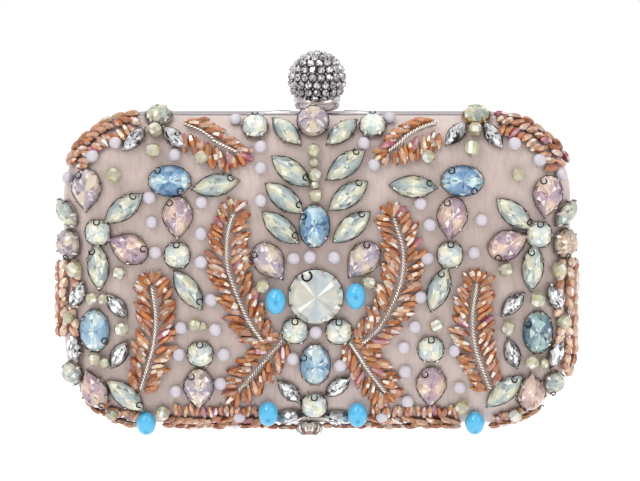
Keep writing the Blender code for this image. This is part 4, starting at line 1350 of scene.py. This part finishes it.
def leaf_glass(rng):
    """Most drops are amber, some are peach or mauve and a few are rose."""
    chance = rng.random()
    if chance < 0.05:
        return ROSE
    if chance < 0.28:
        return MAUVE
    return PEACH if chance < 0.4 else AMBER


def pale_glass(rng):
    """The drops on the sides are paler than the leaves."""
    return PALE_PEACH if rng.random() < 0.8 else PEACH


def warm_glass(rng):
    """The drops round the corners and along the foot are mostly peach."""
    chance = rng.random()
    if chance < 0.06:
        return ROSE
    return PEACH if chance < 0.6 else AMBER


def add_leaf(shape, foot, heading, length, lift, rng):
    """A drop bead lying on the satin, from its foot towards a heading."""
    length *= rng.uniform(0.86, 1.14)
    middle = foot + heading * length / 2
    place = stand(*seat(middle.x, middle.y), heading, LEAF_WIDTH / 2 + lift)
    place = place @ Matrix.Rotation(rng.uniform(-0.5, 0.5), 4, "X")
    place = place @ Matrix.Rotation(rng.uniform(-0.22, 0.06), 4, "Y")
    add_drop(shape, place, length, LEAF_WIDTH * rng.uniform(0.88, 1.15), leaf_glass(rng), rng)


def add_spray(name, places, spread, leaf_length, pitch, rng):
    """Drop beads in two rows on each side of a stem and round its tip, and the twisted cord of the stem.

    The outer rows stand further from the stem in the middle of the spray than at its ends."""
    leaves = Shape()
    path = smooth_path(places, pitch)
    for i, (place, direction) in enumerate(path):
        swell = OUTER_ROW * math.sin(math.pi * (i + 0.5) / len(path)) ** 0.5
        for side, angle in zip((1, -1), spread):
            reach = swell * math.sin(math.radians(angle)) ** 0.5
            for out, along, lift in ((CORD_RADIUS * 1.4, 0.25, 0.6), (reach, -0.25, 0.1)):
                heading = turned(direction, side * (angle + rng.uniform(-14, 14)))
                foot = place + turned(direction, 90 * side) * (out + rng.uniform(0.0, 0.6))
                foot = foot + direction * pitch * (along + rng.uniform(-0.2, 0.2))
                add_leaf(leaves, foot, heading, leaf_length, lift + rng.uniform(0.0, 0.4), rng)
    tip, direction = smooth_path(places, pitch / 4)[-1]
    for angle in (-34, 0, 34):
        add_leaf(leaves, tip + direction * 0.5, turned(direction, angle), leaf_length, 0.3, rng)
    cord = Shape()
    add_cord(cord, smooth_path(places, CORD_STEP))
    shape_piece(f"{name}_beads", leaves, AMBER_LOOK, replaced=(name,))
    shape_piece(f"{name}_cord", cord, CORD_LOOK, smooth_angle=70)


def add_cord(shape, path):
    """Two bright strands twisted together, with two thin dark ones between them as painted shade in the gaps, laid over
    the roots of the leaves.
    """
    strands = ((SILVER, 0.54), (CORD_GAP_SHADE, 0.34), (SILVER, 0.54), (CORD_GAP_SHADE, 0.34))
    for quarter, (tone, thickness) in enumerate(strands):
        centres = []
        for i, (place, direction) in enumerate(path):
            point, normal = seat(place.x, place.y)
            turn = math.pi * quarter / 2 + 2 * math.pi * i * CORD_STEP / CORD_TWIST
            sideways = Vector((direction.y, 0, -direction.x))
            swing = sideways * math.cos(turn) + normal * math.sin(turn)
            centres.append(point + normal * (LEAF_WIDTH + 0.5) + swing * CORD_RADIUS * 0.45)
        add_tube(shape, Matrix.Identity(4), centres, CORD_RADIUS * thickness, 5, tone)


def add_sprays():
    rng = random.Random(21)
    for name, (places, spread, leaf_length, pitch) in SPRAYS.items():
        add_spray(name, places, spread, leaf_length, pitch, rng)


def edge_line(kind, start, end, pitch):
    """Places along the rims' outline: on the bottom, on a side, or round a corner by its angle."""
    if kind == "corner":
        pitch = math.degrees(pitch / CORNER_RADIUS)
    count = max(1, round(abs(end - start) / pitch))
    values = [start + (end - start) * (k + 0.5) / count for k in range(count)]
    if kind == "bottom":
        return [Vector((value, 0.0)) for value in values]
    if kind == "top":
        return [Vector((value, RIM_HEIGHT)) for value in values]
    if kind in ("left", "right"):
        side = -1 if kind == "left" else 1
        return [Vector((side * HALF_WIDTH, value)) for value in values]
    places = []
    for value in values:
        direction = heading_of(value)
        centre_x = math.copysign(HALF_WIDTH - CORNER_RADIUS, direction.x)
        centre_z = HALF_HEIGHT + math.copysign(HALF_HEIGHT - CORNER_RADIUS, direction.y)
        places.append(Vector((centre_x, centre_z)) + CORNER_RADIUS * direction)
    return places


def add_edge_row(shape, places, turn, slant, length, width, glass_for, rng):
    """A row of drop beads on the rounded edge.

    A slant of 0 lays them along the edge and 90 points them up the curve, towards the middle of the front."""
    for place in places:
        _, outwards = inset_at(place.x, place.y)
        along = turned(outwards, 90)
        place = place + along * rng.uniform(-0.5, 0.5)
        bead_turn = turn + rng.uniform(-4, 4)
        point, normal = edge_seat(place.x, place.y, bead_turn)
        tangent = Vector((along.x, 0, along.y))
        climb = tangent.cross(normal)
        if climb.y > 0:
            climb = -climb
        lean = math.radians(slant + rng.uniform(-13, 13))
        heading = tangent * math.cos(lean) + climb * math.sin(lean)
        axes = Matrix((heading, normal.cross(heading), normal)).transposed()
        matrix = Matrix.Translation(point + normal * (width / 2 + rng.uniform(0.0, 0.4))) @ axes.to_4x4()
        matrix = matrix @ Matrix.Rotation(rng.uniform(-0.5, 0.5), 4, "X")
        size = length * rng.uniform(0.86, 1.08)
        add_drop(shape, matrix, size, width * rng.uniform(0.92, 1.08), glass_for(rng), rng)


# Each edging: the CAD node it stands for, then rows of the edge it follows, the start and end along that
# edge, the pitch, the turn from the side wall, the slant, and the length and width of its beads
EDGINGS = {
    "edge_beads_bottom_left": ("edge_beads_bottom_left", (
        ("bottom", -50.0, -19.5, 1.9, 62, 90, 5.0, 2.1),
        ("bottom", -50.0, -19.5, 2.6, 44, 30, 5.0, 2.4),
        ("bottom", -50.5, -19.0, 3.0, 27, 12, 5.0, 2.6),
        ("bottom", -18.5, -7.5, 2.6, 17, 14, 4.6, 2.2),
    )),
    "edge_beads_bottom_right": ("edge_beads_bottom_right", (
        ("bottom", 17.5, 47.0, 1.9, 62, 90, 5.0, 2.1),
        ("bottom", 17.5, 47.0, 2.6, 44, 150, 5.0, 2.4),
        ("bottom", 17.0, 47.5, 3.0, 27, 168, 5.0, 2.6),
        ("bottom", 2.5, 16.5, 2.6, 17, 166, 4.6, 2.2),
    )),
    "edge_beads_side_left": ("edge_beads_side_left", (
        ("left", 31.0, 56.0, 3.2, 54, 40, 4.8, 3.0),
        ("left", 30.0, 56.0, 3.2, 34, 140, 4.8, 3.2),
        ("left", 30.0, 55.0, 3.6, 14, 20, 5.0, 3.4),
    )),
    "edge_beads_side_right": ("edge_beads_side_right", (
        ("right", 31.0, 56.0, 3.2, 54, 140, 4.8, 3.0),
        ("right", 30.0, 56.0, 3.2, 34, 40, 4.8, 3.2),
        ("right", 30.0, 55.0, 3.6, 14, 160, 5.0, 3.4),
    )),
    "edge_beads_low_side_right": (None, (
        ("right", 26.0, 31.0, 2.5, 54, 140, 4.8, 3.0),
        ("right", 27.0, 30.0, 3.0, 34, 40, 4.8, 3.2),
        ("right", 26.5, 30.0, 3.5, 14, 160, 5.0, 3.4),
        ("corner", 360, 341, 3.2, 35, 40, 4.8, 3.2),
        ("corner", 360, 338, 3.5, 14, 160, 5.0, 3.4),
    )),
    "edge_beads_corner_left": (None, (
        ("corner", 94, 156, 3.9, 17, 166, 5.6, 2.9),
        ("corner", 94, 156, 2.8, 34, 136, 5.4, 2.6),
        ("corner", 96, 154, 2.4, 53, 116, 5.4, 2.4),
    )),
    "edge_beads_corner_right": (None, (
        ("corner", 86, 24, 3.9, 17, 14, 5.6, 2.9),
        ("corner", 86, 24, 2.8, 34, 44, 5.4, 2.6),
        ("corner", 84, 26, 2.4, 53, 64, 5.4, 2.4),
    )),
    "edge_beads_foot_left": (None, (
        ("corner", 224, 268, 3.0, 26, 12, 5.0, 2.5),
        ("corner", 224, 266, 2.2, 48, 70, 4.8, 2.2),
    )),
    "edge_beads_foot_right": (None, (
        ("corner", 308, 272, 3.0, 26, 168, 5.0, 2.5),
        ("corner", 306, 274, 2.4, 48, 130, 4.8, 2.4),
    )),
}


def add_edgings():
    rng = random.Random(31)
    for name, (node, rows) in EDGINGS.items():
        shape = Shape()
        glass_for = pale_glass if "side" in name else warm_glass
        for kind, start, end, pitch, turn, slant, length, width in rows:
            places = edge_line(kind, start, end, pitch)
            add_edge_row(shape, places, turn, slant, length, width, glass_for, rng)
        shape_piece(f"{name}_drops", shape, AMBER_LOOK, replaced=(node,) if node else ())


# ---------------------------------------------------------------- clasp


def add_ball():
    """The pave ball: a dark core, rings of small foiled crystals and the grains of metal between them."""
    low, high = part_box("clasp_ball")
    centre = Vector(((low.x + high.x) / 2 / MM, ((low.y + high.y) / 2 - PARTING_Y) / MM, (low.z + high.z) / 2 / MM))
    radius = (high.x - low.x) / 2 / MM
    core_radius = radius - 1.0
    crystals, grains, core = Shape(), Shape(), Shape()
    rng = random.Random(8)
    crystal_size = 2.65
    rows = round(math.pi * core_radius / (crystal_size * 0.9))
    for row in range(rows + 1):
        polar = math.pi * (row + 0.02) / rows
        count = max(1, round(2 * math.pi * core_radius * math.sin(polar) / crystal_size))
        for k in range(count):
            turn = 2 * math.pi * (k + 0.5 * (row % 2)) / count
            for shape, shift_polar, shift_turn in ((crystals, 0, 0), (grains, 0.5, 0.5)):
                p = polar + shift_polar * math.pi / rows
                t = turn + shift_turn * 2 * math.pi / count
                out = Vector((math.sin(p) * math.cos(t), math.sin(p) * math.sin(t), math.cos(p)))
                if out.z < -0.93:
                    continue
                side = out.orthogonal().normalized()
                axes = Matrix((side, out.cross(side), out)).transposed().to_4x4()
                place = Matrix.Translation(centre + out * (core_radius - 0.15)) @ axes
                if shape is crystals:
                    # Painted highlights and painted dark facets on the foiled crystals.
                    add_gem(shape, place, oval_point, crystal_size, crystal_size, 1.5, PAVE, rng, count=8,
                            sparkle=0.3, gloom=0.3)
                else:
                    add_grain(shape, place)
    profile = [(-core_radius * math.cos(math.radians(a)), core_radius * math.sin(math.radians(a))) for a in range(8, 176, 8)]
    points, faces = lathe(profile, 36)
    core.add(points, faces, [DARK_METAL] * len(faces), Matrix.Translation(centre) @ Matrix.Rotation(math.radians(-90), 4, "Y"))
    shape_piece("clasp_ball_core", core, SETTING_LOOK, "clasp", 60, ("clasp_ball",))
    shape_piece("clasp_ball_crystals", crystals, CLEAR_LOOK, "clasp")
    shape_piece("clasp_ball_grains", grains, HARDWARE_LOOK, "clasp", 60)


def add_grain(shape, place):
    """A grain of metal that holds the crystals round it."""
    profile = [(0.0, 0.5), (0.5, 0.46), (0.85, 0.3), (1.0, 0.08)]
    points, faces = lathe(profile, 6)
    turned_up = place @ Matrix.Rotation(math.radians(-90), 4, "Y")
    shape.add(points, faces, [DARK_METAL] * len(faces), turned_up)


def lobe(turn):
    """How much of the cup's full side lobes shows at a turn: all of it at the left and right."""
    return abs(math.cos(turn)) ** 1.5


def add_cup():
    """The polished cup: a low bowl in front and behind, swelling into a full rolled lobe on each side."""
    low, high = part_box("clasp_cup")
    centre = Vector(((low.x + high.x) / 2 / MM, ((low.y + high.y) / 2 - PARTING_Y) / MM, low.z / MM))
    bowl = ((0.0, 1.5), (0.0, 2.6), (0.35, 4.2), (1.05, 5.8), (2.05, 6.9), (2.8, 7.3), (3.35, 7.5), (3.6, 7.3))
    full = ((0.0, 1.5), (0.0, 3.6), (0.1, 5.4), (0.7, 6.9), (1.9, 7.7), (3.2, 8.0), (4.5, 7.7), (5.2, 7.0))
    inside = ((3.2, 6.5), (2.05, 5.6), (1.05, 4.0), (0.5, 3.0), (0.5, 1.5))
    sides = 72
    points = []
    for ring in range(len(bowl) + len(inside)):
        for k in range(sides):
            turn = 2 * math.pi * k / sides
            if ring < len(bowl):
                height, radius = Vector(bowl[ring]).lerp(Vector(full[ring]), lobe(turn))
            else:
                height, radius = inside[ring - len(bowl)]
            points.append((radius * math.cos(turn), radius * math.sin(turn), height))
    faces = []
    for ring in range(len(bowl) + len(inside)):
        faces += band(ring * sides, (ring + 1) % (len(bowl) + len(inside)) * sides, sides)
    shape = Shape()
    shape.add(points, faces, [DARK_METAL] * len(faces), Matrix.Translation(centre))
    shape_piece("clasp_cup_polished", shape, CUP_LOOK, "clasp", 50, ("clasp_cup",))


def add_shoulders():
    """Two low metal shoulders that rise along the back rim's top towards the clasp."""
    for side, word in ((-1, "left"), (1, "right")):
        points = []
        steps = 16
        for step in range(steps + 1):
            share = step / steps
            x = side * (24.5 - 15.5 * share)
            rise = 0.85 * math.sin(share * math.pi / 2) ** 1.4
            for y, height in ((2.6, 0.0), (3.0, 0.75), (5.4, 1.0), (6.7, 0.8), (6.9, 0.0)):
                points.append((x, y, RIM_HEIGHT - 0.35 + (rise + 0.1) * height))
        faces = []
        for step in range(steps):
            faces += band(step * 5, (step + 1) * 5, 5)
        faces += [tuple(reversed(range(5))), tuple(range(steps * 5, steps * 5 + 5))]
        if side == -1:
            faces = [tuple(reversed(face)) for face in faces]
        name = f"back_rim_shoulder_{word}"
        add_piece(name, bag_mesh(name, points, faces, 50), RIM_LOOK, "back_half")


def dress_hardware():
    """Gives the CAD metal parts that stay in view their own materials."""
    looks = {"clasp_spring": SPRING_LOOK}
    kept = (
        "hinge_leaf_back_left", "hinge_leaf_back_right", "hinge_leaf_front_left", "hinge_leaf_front_right",
        "hinge_pin_left", "hinge_pin_right", "clasp_bracket", "clasp_pivot_pin", "clasp_spring",
        "clasp_lever", "catch_plate",
    )
    for node in kept:
        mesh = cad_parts[node].data
        mesh.materials.clear()
        mesh.materials.append(looks.get(node, HARDWARE_LOOK))


# ---------------------------------------------------------------- camera, light and floor


def add_camera():
    data = bpy.data.cameras.new("camera")
    data.sensor_width = 36.0
    data.lens = 168.0
    data.clip_end = 20.0
    camera = bpy.data.objects.new("camera", data)
    bpy.context.scene.collection.objects.link(camera)
    elevation = math.radians(7)
    back = Vector((0, -math.cos(elevation), math.sin(elevation)))
    camera.location = to_row_frame((1.0, 0.0, 60.2)) + back
    camera.rotation_euler = (-back).to_track_quat("-Z", "Y").to_euler()
    bpy.context.scene.camera = camera


def add_area_light(name, location, size, power):
    data = bpy.data.lights.new(name, "AREA")
    data.size = size
    data.energy = power
    light = bpy.data.objects.new(name, data)
    bpy.context.scene.collection.objects.link(light)
    light.location = location
    aim = Vector((0, 0, 0.05)) - Vector(location)
    light.rotation_euler = aim.to_track_quat("-Z", "Y").to_euler()


def add_lights():
    add_area_light("key_light", (-0.7, -1.0, 1.1), 0.6, 8)
    add_area_light("fill_light", (1.0, -0.8, 0.7), 0.8, 4)
    add_area_light("front_light", (0.1, -1.5, 0.0), 1.0, 2)
    add_area_light("top_light", (-0.2, -0.2, 1.4), 0.9, 7)
    add_world()


WORLD_STRENGTH = 0.76


def add_world():
    """Soft light from all round, a little stronger from above and behind, before a white background."""
    world = bpy.data.worlds.new("studio")
    bpy.context.scene.world = world
    world.use_nodes = True
    background = world.node_tree.nodes["Background"]
    coordinates = world.node_tree.nodes.new("ShaderNodeTexCoord")
    parts = world.node_tree.nodes.new("ShaderNodeSeparateXYZ")
    ramp = world.node_tree.nodes.new("ShaderNodeValToRGB")
    ramp.color_ramp.elements[0].position = 0.35
    ramp.color_ramp.elements[0].color = (0.7, 0.68, 0.67, 1)
    ramp.color_ramp.elements[1].position = 0.9
    ramp.color_ramp.elements[1].color = (1, 1, 1, 1)
    shift = world.node_tree.nodes.new("ShaderNodeMath")
    shift.operation = "MULTIPLY_ADD"
    shift.inputs[1].default_value = 0.5
    shift.inputs[2].default_value = 0.5
    links = world.node_tree.links
    links.new(coordinates.outputs["Generated"], parts.inputs["Vector"])
    links.new(parts.outputs["Z"], shift.inputs[0])
    links.new(shift.outputs["Value"], ramp.inputs["Fac"])
    links.new(ramp.outputs["Color"], background.inputs["Color"])
    behind = world.node_tree.nodes.new("ShaderNodeMapRange")
    behind.inputs["From Max"].default_value = 0.7
    behind.inputs["To Min"].default_value = WORLD_STRENGTH
    behind.inputs["To Max"].default_value = 1.5 * WORLD_STRENGTH
    links.new(parts.outputs["Y"], behind.inputs["Value"])
    links.new(behind.outputs["Result"], background.inputs["Strength"])
    seen = world.node_tree.nodes.new("ShaderNodeLightPath")
    white = world.node_tree.nodes.new("ShaderNodeBackground")
    white.inputs["Color"].default_value = (1, 1, 1, 1)
    mix = world.node_tree.nodes.new("ShaderNodeMixShader")
    links.new(seen.outputs["Is Camera Ray"], mix.inputs["Fac"])
    links.new(background.outputs["Background"], mix.inputs[1])
    links.new(white.outputs["Background"], mix.inputs[2])
    links.new(mix.outputs["Shader"], world.node_tree.nodes["World Output"].inputs["Surface"])


def add_stage():
    """A plain pale floor, seen only from above.

    It lies far enough under the bag for the front half to hang down when it is open."""
    front_depth = (PARTING_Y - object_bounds()[0].y) / MM
    floor_z = -front_depth - 6
    reach = 4000.0
    points = [(-reach, -reach, floor_z), (reach, -reach, floor_z), (reach, reach, floor_z), (-reach, reach, floor_z)]
    material, shader = new_material("floor", 0.7, Emission_Color=(1, 1, 1, 1), Emission_Strength=0.3)
    grain = noise_node(material, 0.02, 2.0)
    colour = ramp_node(material, grain, (0.3, linear((248, 248, 248))), (0.7, linear((252, 252, 252))))
    link(material, colour, shader.inputs["Base Color"])
    below = add_node(material, "ShaderNodeNewGeometry").outputs["Backfacing"]
    see_through = add_node(material, "ShaderNodeBsdfTransparent").outputs["BSDF"]
    mix = add_node(material, "ShaderNodeMixShader")
    link(material, below, mix.inputs["Fac"])
    link(material, shader.outputs["BSDF"], mix.inputs[1])
    link(material, see_through, mix.inputs[2])
    link(material, mix.outputs["Shader"], material.node_tree.nodes["Material Output"].inputs["Surface"])
    mesh = bag_mesh("floor", points, [(0, 1, 2, 3)])
    mesh.materials.append(material)
    floor = bpy.data.objects.new("floor", mesh)
    bpy.context.scene.collection.objects.link(floor)


add_halves()
add_cad_stones()
add_centre_stone()
add_marquises()
add_rounds()
add_edge_stones()
add_white_beads()
add_yellow_beads()
add_turquoise_beads()
add_sprays()
add_edgings()
add_ball()
add_cup()
add_shoulders()
dress_hardware()
add_stage()
add_lights()
add_camera()
bpy.context.scene.view_settings.view_transform = "Standard"
